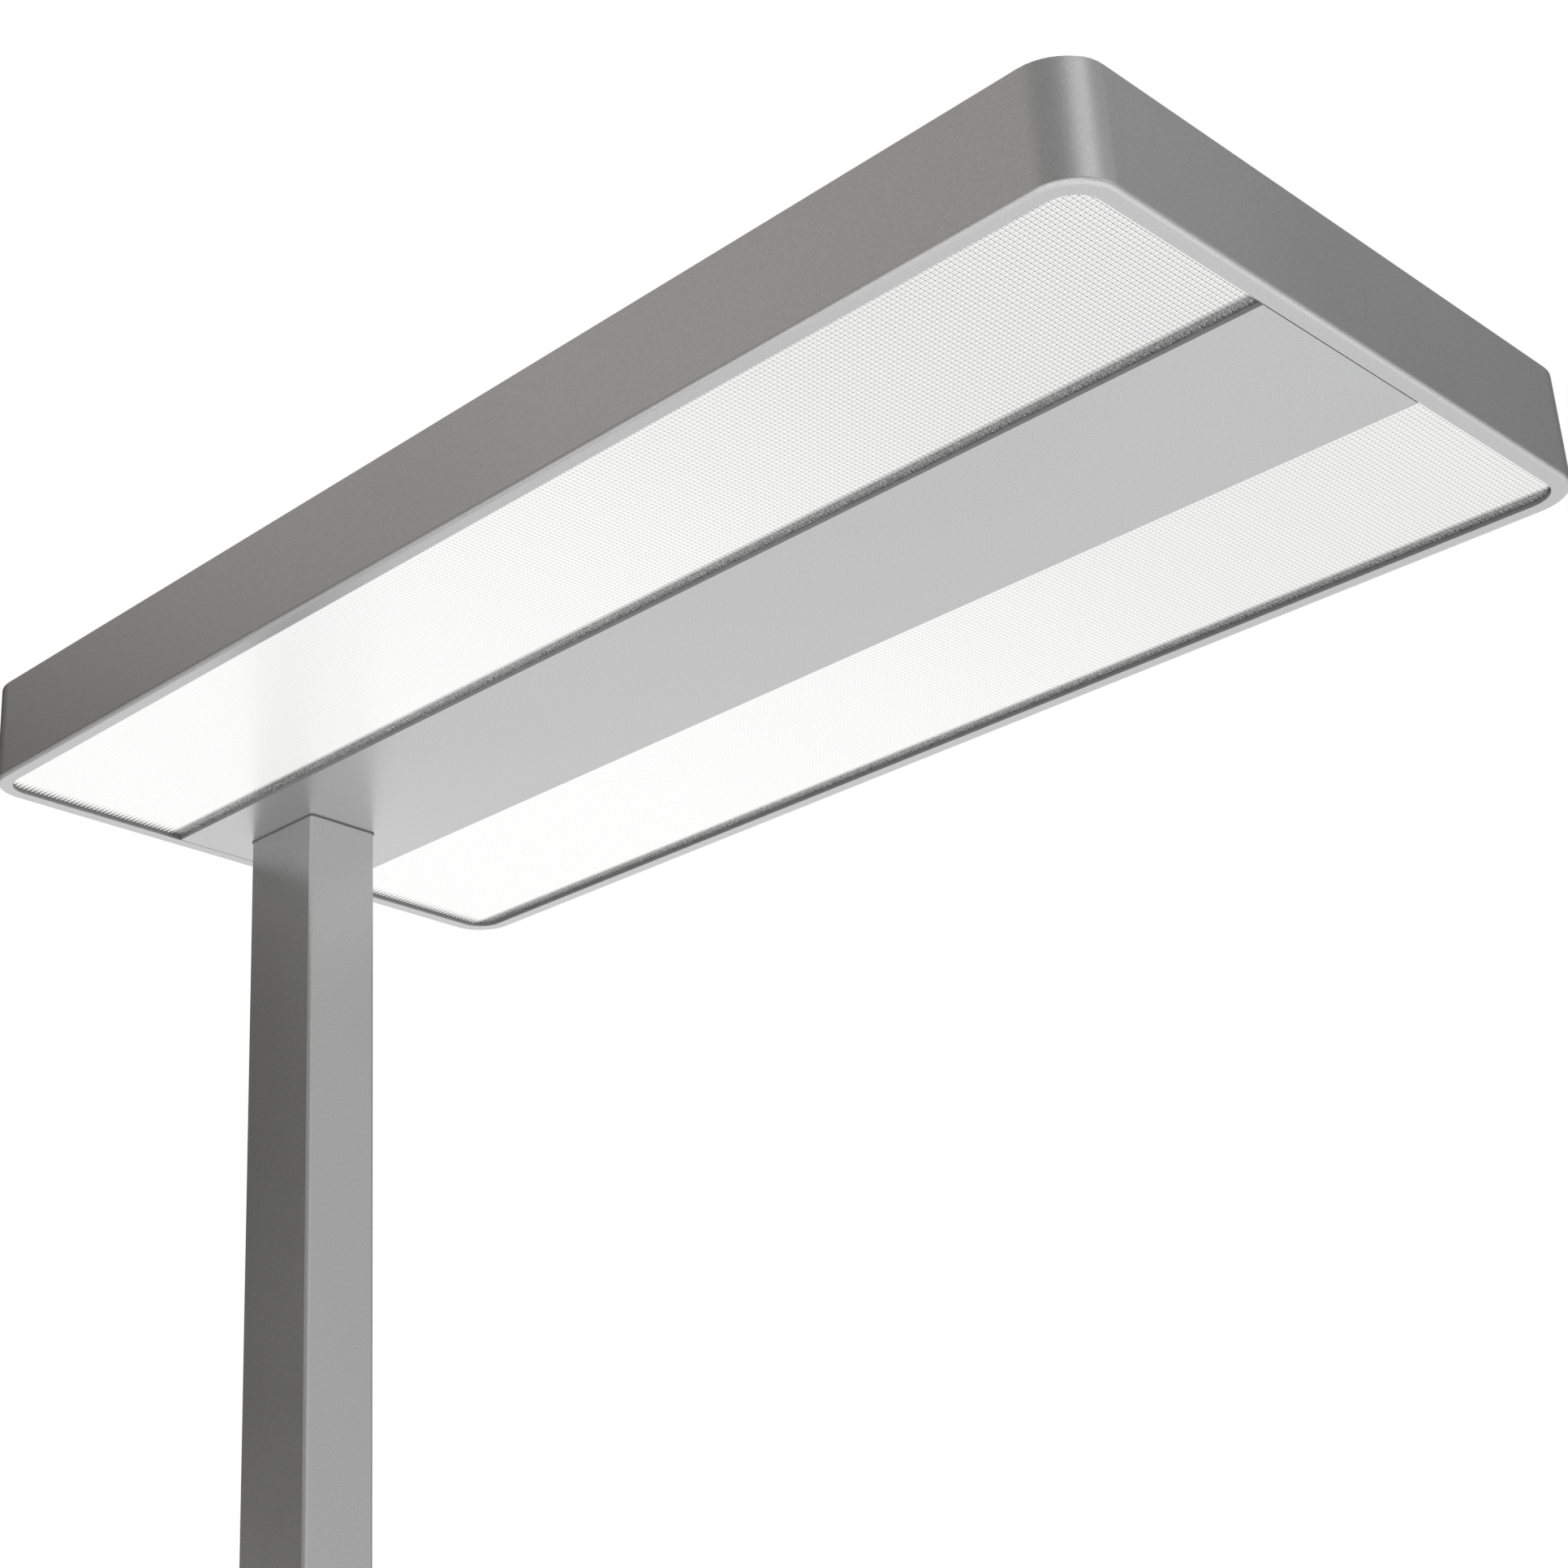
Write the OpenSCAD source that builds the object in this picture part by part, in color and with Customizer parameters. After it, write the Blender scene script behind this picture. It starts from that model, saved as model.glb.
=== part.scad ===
// Office floor lamp: a slim rectangular light head on a side post, with a flat foot plate.
// Sizes are in millimetres. X runs along the head towards its free end, Y across it and Z up.
// The origin is on the floor, below the middle of the head. "Near" is -Y and "far" is +Y.

/* [Lamp] */
// Overall height, from the floor to the top of the head
lamp_h = 1950; // [1850:5:2050]

/* [Head] */
// Length of the head
head_l = 650; // [640:5:720]
// Width of the head
head_w = 326; // [316:2:360]
// Height of the head
head_h = 50; // [47:1:58]
// Corner radius of the head in plan
head_corner_r = 20; // [17:1:30]
// Thickness of the head's side wall
head_wall = 2.5; // [2:0.25:2.5]
// Width of the rim that shows from below
rim_w = 7.5; // [7.5:0.5:11]
// Thickness of the rim, on which the lenses lie
rim_t = 3.5; // [3:0.5:5]
// Rounding along the bottom outer edge
rim_edge_r = 2; // [1:0.5:2.5]
// Rounding along the top outer edge
top_edge_r = 1; // [0.5:0.5:1.5]

/* [Centre panel] */
// Width of the centre panel
panel_w = 100; // [98:1:112]
// Thickness of the centre panel
panel_t = 2; // [1.5:0.5:2.5]
// Width of the bar along each long edge of the panel
panel_bar_w = 5; // [4.5:0.5:7]
// Seam between each end of the panel and the rim
panel_seam = 0.4; // [0.3:0.1:0.8]
// Panel screws along each side of the panel
panel_screw_count = 4; // [3:1:6]
// Distance of the last panel screws from the free end of the head
panel_screw_in = 60; // [30:5:90]
// Distance of the panel screws from the middle of the head
panel_screw_y = 38; // [37:0.5:39]
// Diameter of the screw bosses inside the panel
panel_boss_d = 8; // [7:0.5:9]

/* [Lenses] */
// Thickness of the lens plate above its prisms
lens_t = 3; // [2:0.5:4]
// Height of the prisms below the lens plate
prism_h = 1; // [0.5:0.1:1.5]
// How far each lens lies over the bar of the centre panel
lens_lap = 3.4; // [3:0.1:3.8]
// Gap round the lens plate
lens_gap = 0.4; // [0.3:0.1:0.8]
// Thickness of the opal sheet on the lens
diffuser_t = 1; // [0.5:0.5:2]

/* [Reflector trays] */
// Height of the reflector trays
tray_h = 17.3; // [15:0.1:18]
// Sheet thickness of the trays
tray_sheet = 0.8; // [0.6:0.1:1]
// Width of the flange on which a tray lies
tray_flange_w = 8; // [6:0.5:12]
// Distance of the outer tray screws from the tray's ends
tray_screw_in = 114; // [60:2:130]
// Height of the tray screws above the flange
tray_screw_h = 8; // [6:0.5:10]

/* [Light boards] */
// Distance of the boards that carry the light-emitting diodes from the tray's ends
board_in = 14; // [8:1:40]
// Width of the downward boards
down_board_w = 60; // [50:1:80]
// Width of the upward boards
up_board_w = 40; // [30:1:60]
// Thickness of the boards
board_t = 1.6; // [1.2:0.1:2]
// Diodes along each row
led_count = 16; // [8:1:20]
// Distance between the two rows of downward diodes
led_row_gap = 30; // [20:1:40]
// Side of a diode package
led_w = 3; // [2:0.5:5]
// Thickness of a diode package
led_t = 0.7; // [0.5:0.1:1]

/* [Top cover] */
// Thickness of the top cover
cover_t = 2; // [2:0.5:3]
// Gap round the top cover
cover_gap = 0.4; // [0.3:0.1:0.8]
// Distance of the openings for the upward light from the cover's ends
window_end_in = 32; // [25:1:60]
// Distance of these openings from the spine, and from the screw lugs
window_side_in = 12; // [8:1:24]
// Thickness of the window panes
window_t = 2; // [1.5:0.5:3]
// How far a pane reaches under the cover all round
window_lap = 5; // [3:0.5:6]
// Diameter of the screw lugs inside the side walls
lug_d = 8; // [7:0.5:9]
// Height of the screw lugs
lug_h = 12; // [10:1:16]
// Distance of the outer lugs from the ends of the head
lug_in = 55; // [40:1:80]

/* [Spine] */
// Width of the steel channel down the middle of the head
spine_w = 92; // [90.5:0.5:92.5]
// Sheet thickness of the channel
spine_sheet = 1.5; // [1:0.25:2]
// Width of the channel's top flanges
spine_flange_w = 10; // [9:0.5:12]
// Distance of the spine's end screws from the middle of the head
spine_screw_y = 25; // [15:1:32]

/* [Drivers] */
// Length of a driver
driver_l = 280; // [240:5:300]
// Width of a driver
driver_w = 30; // [28:1:32]
// Height of a driver
driver_h = 21; // [20:0.5:23]
// Gap between the two drivers
driver_gap = 4; // [3:0.5:5]
// Gap between the terminal block and the drivers' tabs
driver_space = 19; // [16:1:30]
// Length of a driver's screw tabs
driver_tab_l = 8; // [7:0.5:9]
// Thickness of a driver's screw tabs
driver_tab_t = 1.5; // [1:0.25:2]

/* [Terminal block] */
// Length of the terminal block
terminal_l = 36; // [30:1:42]
// Width of the terminal block
terminal_w = 18; // [16:1:20]
// Distance of the terminal block from the middle of the head
terminal_y = 8; // [7:0.5:9]
// Gap between the bracket and the terminal block
terminal_space = 8; // [6:1:12]
// Height of the terminal block
terminal_h = 25; // [24:0.5:28]
// Wells along each of its two rows
well_count = 3; // [2:1:4]
// Diameter of the wells over the clamping screws
well_d = 5; // [4:0.5:6]
// Depth of the wells
well_depth = 5; // [3:0.5:8]

/* [Head bracket] */
// Length of the bracket plate on the post
bracket_l = 84; // [80:1:88]
// Width of the bracket plate
bracket_w = 80; // [76:1:84]
// Thickness of the bracket plate
bracket_t = 8; // [6:0.5:9]
// Corner radius of the bracket plate
bracket_corner_r = 6; // [3:0.5:8]
// How far the bracket's boss stays inside the post's outline
boss_inset = 1; // [0.8:0.1:1.5]
// Diameter of the opening for the leads
lead_hole_d = 28; // [27.5:0.5:30]
// Distance of the bracket's own screws from the plate's edges
bracket_screw_in = 7; // [6:0.5:8]

/* [Post] */
// Distance from the back end of the head to the middle of the post
post_inset = 52.5; // [50:0.5:60]
// Size of the post along the head
post_l = 49; // [48:1:54]
// Size of the post across the head
post_w = 40.5; // [40:0.5:46]
// Wall thickness of the post
post_wall = 2.5; // [2.5:0.25:3]
// Rounding of the post's long edges
post_edge_r = 2; // [1:0.5:2.5]
// Bore of the screw channels in the post's corners
port_bore_d = 6.2; // [6.2:0.1:6.6]
// Wall round a screw channel
port_wall = 1.6; // [1.3:0.1:1.8]
// Thickness of the gaskets at the post's ends
gasket_t = 0.5; // [0.4:0.1:1.2]
// How far the gaskets stand proud of the post
gasket_proud = 0.4; // [0.2:0.1:0.8]

/* [Control] */
// Height of the middle of the push-button control above the floor
control_h = 1130; // [900:10:1300]
// Width of the control's frame
bezel_w = 24; // [22:1:28]
// Height of the control's frame
bezel_h = 98; // [94:1:120]
// How far the control's frame stands proud of the post
bezel_proud = 1.6; // [1:0.2:2.4]
// Thickness of the frame's front
bezel_front_t = 3; // [2.6:0.2:3.4]
// Width of the frame's body in the post
bezel_body_w = 18; // [17.6:0.1:18.4]
// Height of the frame's body in the post
bezel_body_h = 90; // [88:0.5:92]
// Wall of the frame's body
bezel_wall = 1; // [0.8:0.1:1.1]
// Corner radius of the control's frame
bezel_corner_r = 4; // [2:0.5:6]
// Step at the frame's ends on which the control board rests
seat_step = 1; // [0.5:0.5:2]
// Diameter of a push-button
button_d = 11; // [10:0.2:12]
// Distance between neighbouring push-buttons
button_pitch = 26; // [24:1:28]
// How far a button stands proud of its frame
button_proud = 1.6; // [1.4:0.1:2]
// Travel of a push-button
button_travel = 1; // [0.6:0.1:1.2]
// Width of the collar that keeps a button in its frame
button_collar = 1.2; // [0.9:0.1:1.3]
// Thickness of that collar
button_collar_t = 1; // [0.8:0.1:1.2]
// Gap round a button
button_gap = 0.3; // [0.25:0.05:0.4]
// Gap between a button's collar and the frame's front
button_play = 0.3; // [0.25:0.05:0.4]
// Diameter of the stem that works the switch
stem_d = 3; // [2.4:0.2:3.2]
// How far the stem reaches into the switch at rest
stem_dip = 0.5; // [0.3:0.1:0.7]
// Side of a switch
switch_w = 7; // [6:0.5:8]
// Height of a switch
switch_h = 4.5; // [4:0.1:5]
// Depth of the well in a switch
switch_well = 2.5; // [2.2:0.1:2.9]
// Thickness of the control board
control_board_t = 1.6; // [1.2:0.1:2]

/* [Mains inlet] */
// Height of the middle of the mains inlet above the floor
inlet_h = 120; // [90:5:200]
// Width of the inlet's body
inlet_body_w = 20; // [19.6:0.1:20.4]
// Height of the inlet's body
inlet_body_h = 27; // [26:0.5:28]
// Depth of the inlet's body in the post
inlet_body_d = 20; // [19:0.5:20.5]
// How far the inlet's frame reaches over the post all round
inlet_lip = 2.5; // [2:0.5:4]
// Thickness of the inlet's frame
inlet_lip_t = 2; // [1.5:0.5:2.5]
// Corner radius of the inlet's frame
inlet_corner_r = 2; // [1:0.5:3]
// Wall of the inlet round its socket
inlet_wall = 1.6; // [1.2:0.1:2]
// Thickness of the inlet's back wall
inlet_back_t = 5; // [4:0.5:6]
// Thickness of a contact pin
pin_t = 2; // [1.6:0.1:2.2]
// Width of a contact pin
pin_w = 4; // [3.6:0.1:4.2]
// Distance of the outer pins from the middle one
pin_pitch = 7; // [6.8:0.1:7.2]
// Sideways offset of the pins from the middle of the socket
pin_off = 2.2; // [2:0.1:2.5]
// How far the pins end behind the socket's mouth
pin_recess = 2; // [1.5:0.5:3]

/* [Foot] */
// Length of the foot plate
base_l = 450; // [400:5:520]
// Width of the foot plate
base_w = 300; // [260:5:310]
// Thickness of the foot plate
base_t = 8; // [8:0.5:12]
// Corner radius of the foot plate
base_corner_r = 20; // [16:1:40]
// Rounding along the top edge of the foot plate
base_edge_r = 2; // [1:0.5:3]
// Diameter of a floor pad
pad_d = 30; // [20:1:40]
// Thickness of a floor pad
pad_t = 3; // [2.5:0.5:4]
// Depth of the floor pads' seats in the foot plate
pad_seat = 1; // [0.5:0.5:1.5]
// Distance of the pads' middles from the plate's edges
pad_in = 35; // [30:1:50]

/* [Leads] */
// Diameter of the mains lead inside the post
mains_lead_d = 7; // [6:0.2:7.2]
// Diameter of the control lead
control_lead_d = 4; // [3:0.2:4.4]
// Diameter of the single leads
wire_d = 3; // [2:0.2:3.2]
// Clearance round a single lead where it passes through a wall
wire_hole_gap = 1; // [0.5:0.1:1.5]
// Distance of the single leads from the ends of the drivers
wire_in = 8; // [6:1:12]
// How far the upward boards' leads rise over the drivers
up_wire_rise = 7; // [6:0.5:8]
// Distance of the mains lead from the post's axis along the head
mains_lead_x = 7.5; // [7.5:0.1:7.8]
// Distance of the two long leads from the post's axis across the head
lead_y = 6; // [5.8:0.1:6.2]
// Distance of the control lead from the post's axis along the head
control_lead_x = 4; // [3.5:0.1:4]
// Height of the leads over the top of the bracket plate before they turn
lead_rise = 0.5; // [0.3:0.1:1]

/* [Screws] */
// Diameter of the bolts in the post's screw channels
bolt_d = 6; // [5.6:0.1:6]
// Length of the bolts into the top of the post
top_bolt_l = 35; // [30:1:45]
// Length of the bolts into the foot of the post
foot_bolt_l = 36; // [30:1:45]
// Diameter of the small screws
screw_d = 3; // [2.6:0.1:3]
// Clearance round a small screw, and of a bolt in its hole
screw_gap = 0.3; // [0.2:0.1:0.4]
// Gap between a screw and its threaded hole
thread_gap = 0.1; // [0.05:0.05:0.1]
// How far a screw reaches past the sheet that holds it
screw_past = 1; // [0.5:0.1:1.2]
// Metal left under a blind screw hole
blind_t = 1; // [0.8:0.1:1.2]
// Gap between a screw's tip and the bottom of its hole
tip_gap = 0.3; // [0.2:0.1:0.4]

/* [Fits] */
// Gap where one piece passes through another
fit_gap = 0.3; // [0.3:0.05:0.4]

/* [Hidden] */
$fn = 64;

// The two sides of the head
near = -1;
far = 1;

// How far a cut reaches past the face that it opens
over = 1;

// Levels of the head, from its underside up
head_z = lamp_h - head_h;
lens_z = head_z + rim_t;
diffuser_z = lens_z + lens_t;
tray_z = diffuser_z + diffuser_t;
tray_top = tray_z + tray_h;
floor_z = lens_z + spine_sheet;
cover_z = lamp_h - cover_t;

// Room inside the head's walls
inner_l = head_l - 2 * head_wall;
inner_w = head_w - 2 * head_wall;
inner_r = head_corner_r - head_wall;

// Edges of a lens plate, and of the sheets that lie on it
lens_in = panel_w / 2 - lens_lap;
lens_out = inner_w / 2 - lens_gap;
tray_out = lens_out - tray_flange_w;
tray_l = inner_l - 2 * lens_gap - 2 * tray_flange_w;
board_l = tray_l - 2 * board_in;
board_y = (lens_in + tray_out) / 2;
window_y = (spine_w / 2 + inner_w / 2 - lug_d) / 2;
window_l = inner_l - 2 * cover_gap - 2 * window_end_in;
window_w = inner_w / 2 - lug_d - spine_w / 2 - 2 * window_side_in;
lug_x = head_l / 2 - lug_in;
lug_y = inner_w / 2 - lug_d / 2;

// Screw places
cover_spots = [for (x = [-lug_x, 0, lug_x], y = [-lug_y, lug_y]) [x, y]];
flange_y = spine_w / 2 - spine_flange_w / 2;
flange_spots = [for (x = [-lug_x / 2, lug_x / 2], y = [-flange_y, flange_y]) [x, y]];
spine_end_x = head_l / 2 - (rim_w + head_wall) / 2;
spine_spots = [for (x = [-spine_end_x, spine_end_x], y = [-spine_screw_y, spine_screw_y]) [x, y]];
tray_screw_x = [for (i = [-1:1]) i * (tray_l / 2 - tray_screw_in)];
tray_screw_z = tray_z + tray_screw_h;
thread_d = screw_d + 2 * thread_gap;
screw_hole_d = screw_d + 2 * screw_gap;

// The post, its screw channels and its ends
post_x = -head_l / 2 + post_inset;
port_inset = post_wall + port_bore_d / 2 + fit_gap;
port_x = post_l / 2 - port_inset;
port_y = post_w / 2 - port_inset;
port_spots = [for (x = [-port_x, port_x], y = [-port_y, port_y]) [post_x + x, y]];
post_front = post_x + post_l / 2;
post_back = post_x - post_l / 2;
base_z = pad_t - pad_seat;
base_top = base_z + base_t;
post_z = base_top + gasket_t;
post_top = head_z - gasket_t;
bracket_top = floor_z + bracket_t;
bracket_end = post_x + bracket_l / 2;
panel_screw_first = bracket_end + terminal_space;
panel_screw_pitch = (head_l / 2 - panel_screw_in - panel_screw_first) / (panel_screw_count - 1);
panel_spots = [for (i = [0:panel_screw_count - 1], y = [-panel_screw_y, panel_screw_y])
               [panel_screw_first + i * panel_screw_pitch, y]];
bracket_spots = [for (x = [-1, 1], y = [-1, 1])
                 [post_x + x * (bracket_l / 2 - bracket_screw_in), y * (bracket_w / 2 - bracket_screw_in)]];
bolt_head_d = 1.66 * bolt_d;
bolt_hole_d = bolt_d + 2 * screw_gap;
foot_head_d = 2 * bolt_d;
base_x = -head_l / 2 + base_l / 2;
pad_spots = [for (x = [-1, 1], y = [-1, 1]) [base_x + x * (base_l / 2 - pad_in), y * (base_w / 2 - pad_in)]];

// The control in the front of the post, from its face inwards
bezel_face = post_front + bezel_proud;
cavity_x = bezel_face - bezel_front_t;
collar_d = button_d + 2 * button_collar;
seat_w = bezel_body_w - 2 * bezel_wall;
seat_h = bezel_body_h - 2 * bezel_wall;
collar_x = cavity_x - button_play;
switch_face = collar_x - button_collar_t - button_travel - stem_dip;
board_face = switch_face - switch_h;
board_back = board_face - control_board_t;

// The inlet in the back of the post, from its mouth inwards
inlet_mouth = post_back - inlet_lip_t;
inlet_end = post_back + inlet_body_d;
socket_w = inlet_body_w - 2 * inlet_wall;
socket_h = inlet_body_h - 2 * inlet_wall;
socket_end = inlet_end - inlet_back_t;
// Middles of the three contact pins: Y and Z from the middle of the inlet
pin_places = [[-pin_off, -pin_pitch], [pin_off, 0], [-pin_off, pin_pitch]];

// Drivers and terminals on the spine's floor
terminal_x = bracket_end + terminal_space;
driver_x = terminal_x + terminal_l + driver_space;
driver_y = (driver_w + driver_gap) / 2;
driver_mid = driver_x + driver_l / 2;
driver_spots = [for (x = [driver_x - driver_tab_l / 2, driver_x + driver_l + driver_tab_l / 2],
                     y = [-driver_y, driver_y]) [x, y]];

// Bend radii of the leads, on their middle line
mains_bend = 11;
mains_top_bend = 12;
control_bend = 8;
control_top_bend = 10;
wire_bend = 4;
mains_lead_z = bracket_top + lead_rise + mains_top_bend;
control_lead_z = bracket_top + lead_rise + control_top_bend;

// Places of the single leads from the drivers to the boards
down_wire_z = floor_z + driver_h / 2;
up_wire_z = floor_z + driver_h + up_wire_rise;
down_wire_y = board_y - down_board_w / 2 + wire_bend;
up_wire_y = board_y - up_board_w / 2 + wire_bend;
near_wire_x = driver_x + driver_l - wire_in;
far_wire_x = driver_x + driver_l + driver_tab_l + wire_bend;
up_far_wire_x = driver_x + driver_l - 2 * wire_in;
wire_hole_d = wire_d + 2 * wire_hole_gap;

// Which button is where, counted upwards from the middle of the control
power_step = 0;
brighter_step = 1;
dimmer_step = -1;

// Helpers ---------------------------------------------------------------------------------

// A rounded rectangle in plan
module plan(l, w, r) {
  square([l - 2 * r, w], center = true);
  square([l, w - 2 * r], center = true);
  for (x = [-1, 1], y = [-1, 1]) translate([x * (l / 2 - r), y * (w / 2 - r)]) circle(r = r);
}

// Sweeps a profile round a rounded rectangle. The profile's x is the distance out from the
// middle of the corner arcs, and its y is the height.
module sweep_round(l, w, r) {
  for (flip = [0, 1]) {
    mirror([0, flip, 0]) translate([0, w / 2 - r, 0]) rotate([90, 0, 90])
      linear_extrude(l - 2 * r, center = true) children();
    mirror([flip, 0, 0]) translate([l / 2 - r, 0, 0]) rotate([90, 0, 0])
      linear_extrude(w - 2 * r, center = true) children();
  }
  for (x = [0, 1], y = [0, 1])
    mirror([x, 0, 0]) mirror([0, y, 0]) translate([l / 2 - r, w / 2 - r, 0])
      rotate_extrude(angle = 90) children();
}

// A quarter of a disc, in the corner between +x and +y
module quarter(r) {
  intersection() {
    circle(r = r);
    square(r);
  }
}

// Puts the far side's shape on the far or the near side
module on_side(side) {
  if (side > 0) children();
  else mirror([0, 1, 0]) children();
}

// A block from its lowest and highest corners
module block(low, high) {
  translate(low) cube(high - low);
}

// A rod from one point to another
function unit(v) = v / norm(v);
function aside(v) = abs(v.z) < 0.9 ? unit(cross(v, [0, 0, 1])) : [1, 0, 0];
module rod(a, b, d) {
  z = unit(b - a);
  x = aside(z);
  y = cross(z, x);
  multmatrix([[x.x, y.x, z.x, a.x], [x.y, y.y, z.y, a.y], [x.z, y.z, z.z, a.z], [0, 0, 0, 1]])
    cylinder(d = d, h = norm(b - a), $fn = 24);
}

// A quarter bend at the corner p, from direction u to direction v
module elbow(p, u, v, bend, d) {
  x = -v;
  y = u;
  z = cross(x, y);
  c = p - bend * u + bend * v;
  multmatrix([[x.x, y.x, z.x, c.x], [x.y, y.y, z.y, c.y], [x.z, y.z, z.z, c.z], [0, 0, 0, 1]])
    rotate_extrude(angle = 90, $fn = 48) translate([bend, 0]) circle(d = d, $fn = 24);
}

// A lead along square-cornered points, with a round bend at each inner corner
module lead(points, bend, d) {
  last = len(points) - 1;
  for (i = [0:last - 1]) {
    u = unit(points[i + 1] - points[i]);
    cut_a = i == 0 ? 0 : bend[i - 1];
    cut_b = i == last - 1 ? 0 : bend[i];
    rod(points[i] + cut_a * u, points[i + 1] - cut_b * u, d);
  }
  for (i = [1:1:last - 1])
    elbow(points[i], unit(points[i] - points[i - 1]), unit(points[i + 1] - points[i]), bend[i - 1], d);
}

// A screw with a flat round head, its shank pointing down from the origin
module pan_screw(d, l) {
  translate([0, 0, -l]) cylinder(d = d, h = l);
  difference() {
    cylinder(d = 1.6 * d, h = 0.6 * d);
    translate([0, 0, 0.25 * d]) cylinder(d = 0.8 * d, h = d, $fn = 6);
  }
}

// A countersunk screw, its flat top at the origin and its shank pointing down
module flat_screw(d, head_d, l) {
  head_h = (head_d - d) / 2;
  difference() {
    union() {
      translate([0, 0, -l]) cylinder(d = d, h = l);
      translate([0, 0, -head_h]) cylinder(d1 = d, d2 = head_d, h = head_h);
    }
    translate([0, 0, -0.3 * d]) cylinder(d = 0.7 * d, h = d, $fn = 6);
  }
}

// The hole that a countersunk screw needs, its mouth at the origin
module flat_hole(d, head_d, depth) {
  head_h = (head_d - d) / 2;
  translate([0, 0, -depth - over]) cylinder(d = d + 2 * screw_gap, h = depth + 2 * over);
  translate([0, 0, -head_h]) cylinder(d1 = d, d2 = head_d, h = head_h);
}

// Head ------------------------------------------------------------------------------------

// Section of the head's wall and rim
module frame_profile() {
  r = head_corner_r;
  translate([r - head_wall, rim_edge_r]) square([head_wall, head_h - rim_edge_r - top_edge_r]);
  translate([r - head_wall, head_h - top_edge_r]) square([head_wall - top_edge_r, top_edge_r]);
  translate([r - top_edge_r, head_h - top_edge_r]) quarter(top_edge_r);
  translate([r - rim_w, 0]) square([rim_w - rim_edge_r, rim_t]);
  translate([r - rim_w, rim_edge_r]) square([rim_w, rim_t - rim_edge_r]);
  translate([r - rim_edge_r, rim_edge_r]) mirror([0, 1]) quarter(rim_edge_r);
}

// One screw lug inside the far wall
module frame_lug() {
  cylinder(d = lug_d, h = lug_h);
  translate([-lug_d / 2, 0, 0]) cube([lug_d, (lug_d + head_wall) / 2, lug_h]);
}

module head_frame() {
  color([0.64, 0.64, 0.65]) difference() {
    union() {
      translate([0, 0, head_z]) sweep_round(head_l, head_w, head_corner_r) frame_profile();
      for (side = [near, far], x = [-lug_x, 0, lug_x])
        on_side(side) translate([x, lug_y, cover_z - lug_h]) frame_lug();
    }
    for (p = cover_spots) translate([p.x, p.y, cover_z - lug_h + blind_t]) cylinder(d = thread_d, h = lug_h);
    for (p = spine_spots) translate([p.x, p.y, head_z + blind_t]) cylinder(d = thread_d, h = rim_t);
  }
}

module centre_panel() {
  l = head_l - 2 * rim_w - 2 * panel_seam;
  bar_in = panel_w / 2 - panel_bar_w;
  color([0.66, 0.66, 0.67]) difference() {
    union() {
      block([-l / 2, -panel_w / 2, head_z], [l / 2, panel_w / 2, head_z + panel_t]);
      for (side = [near, far])
        on_side(side) block([-l / 2, bar_in, head_z], [l / 2, panel_w / 2, lens_z]);
      for (p = panel_spots) translate([p.x, p.y, head_z]) cylinder(d = panel_boss_d, h = rim_t);
    }
    translate([post_x, 0, head_z - over]) bracket_boss(fit_gap, rim_t + 2 * over);
    for (p = panel_spots) translate([p.x, p.y, head_z + blind_t]) cylinder(d = thread_d, h = rim_t);
  }
}

// Outline of the sheets that lie over a light opening on the far side
module lens_plan(inset) {
  intersection() {
    plan(inner_l - 2 * inset, inner_w - 2 * inset, inner_r - inset);
    translate([-head_l / 2, lens_in]) square([head_l, head_w / 2]);
  }
}

module lens(side) {
  l = head_l - 2 * rim_w - 2 * fit_gap;
  w = head_w - 2 * rim_w - 2 * fit_gap;
  color([0.93, 0.95, 0.97]) on_side(side) {
    translate([0, 0, lens_z]) linear_extrude(lens_t) lens_plan(lens_gap);
    translate([0, 0, lens_z - prism_h]) linear_extrude(prism_h) intersection() {
      plan(l, w, head_corner_r - rim_w - fit_gap);
      translate([-head_l / 2, panel_w / 2 + fit_gap]) square([head_l, head_w / 2]);
    }
  }
}

module diffuser(side) {
  color([0.97, 0.97, 0.97]) on_side(side) translate([0, 0, diffuser_z])
    linear_extrude(diffuser_t) lens_plan(lens_gap);
}

module reflector(side) {
  wire_x = side == near ? near_wire_x : far_wire_x;
  color([0.9, 0.9, 0.9]) on_side(side) difference() {
    union() {
      translate([0, 0, tray_z]) linear_extrude(tray_sheet) lens_plan(lens_gap);
      block([-tray_l / 2, lens_in, tray_z], [tray_l / 2, tray_out, tray_top]);
    }
    block([-tray_l / 2 + tray_sheet, lens_in + tray_sheet, tray_z - over],
          [tray_l / 2 - tray_sheet, tray_out - tray_sheet, tray_top - tray_sheet]);
    for (x = tray_screw_x) translate([x, lens_in, tray_screw_z]) rotate([90, 0, 0])
      cylinder(d = thread_d, h = 4 * tray_sheet, center = true);
    translate([wire_x, lens_in, down_wire_z]) rotate([90, 0, 0])
      cylinder(d = wire_hole_d, h = 4 * tray_sheet, center = true);
  }
}

module led_board(side) {
  z = tray_top - tray_sheet - board_t;
  color([0.92, 0.93, 0.9]) on_side(side)
    block([-board_l / 2, board_y - down_board_w / 2, z],
          [board_l / 2, board_y + down_board_w / 2, z + board_t]);
}

module uplight_board(side) {
  color([0.92, 0.93, 0.9]) on_side(side)
    block([-board_l / 2, board_y - up_board_w / 2, tray_top],
          [board_l / 2, board_y + up_board_w / 2, tray_top + board_t]);
}

// One row of diode packages along X, on the far side
module led_row(y, z) {
  pitch = board_l / led_count;
  for (i = [0:led_count - 1])
    translate([(i + 0.5) * pitch - board_l / 2 - led_w / 2, y - led_w / 2, z]) cube([led_w, led_w, led_t]);
}

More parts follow.
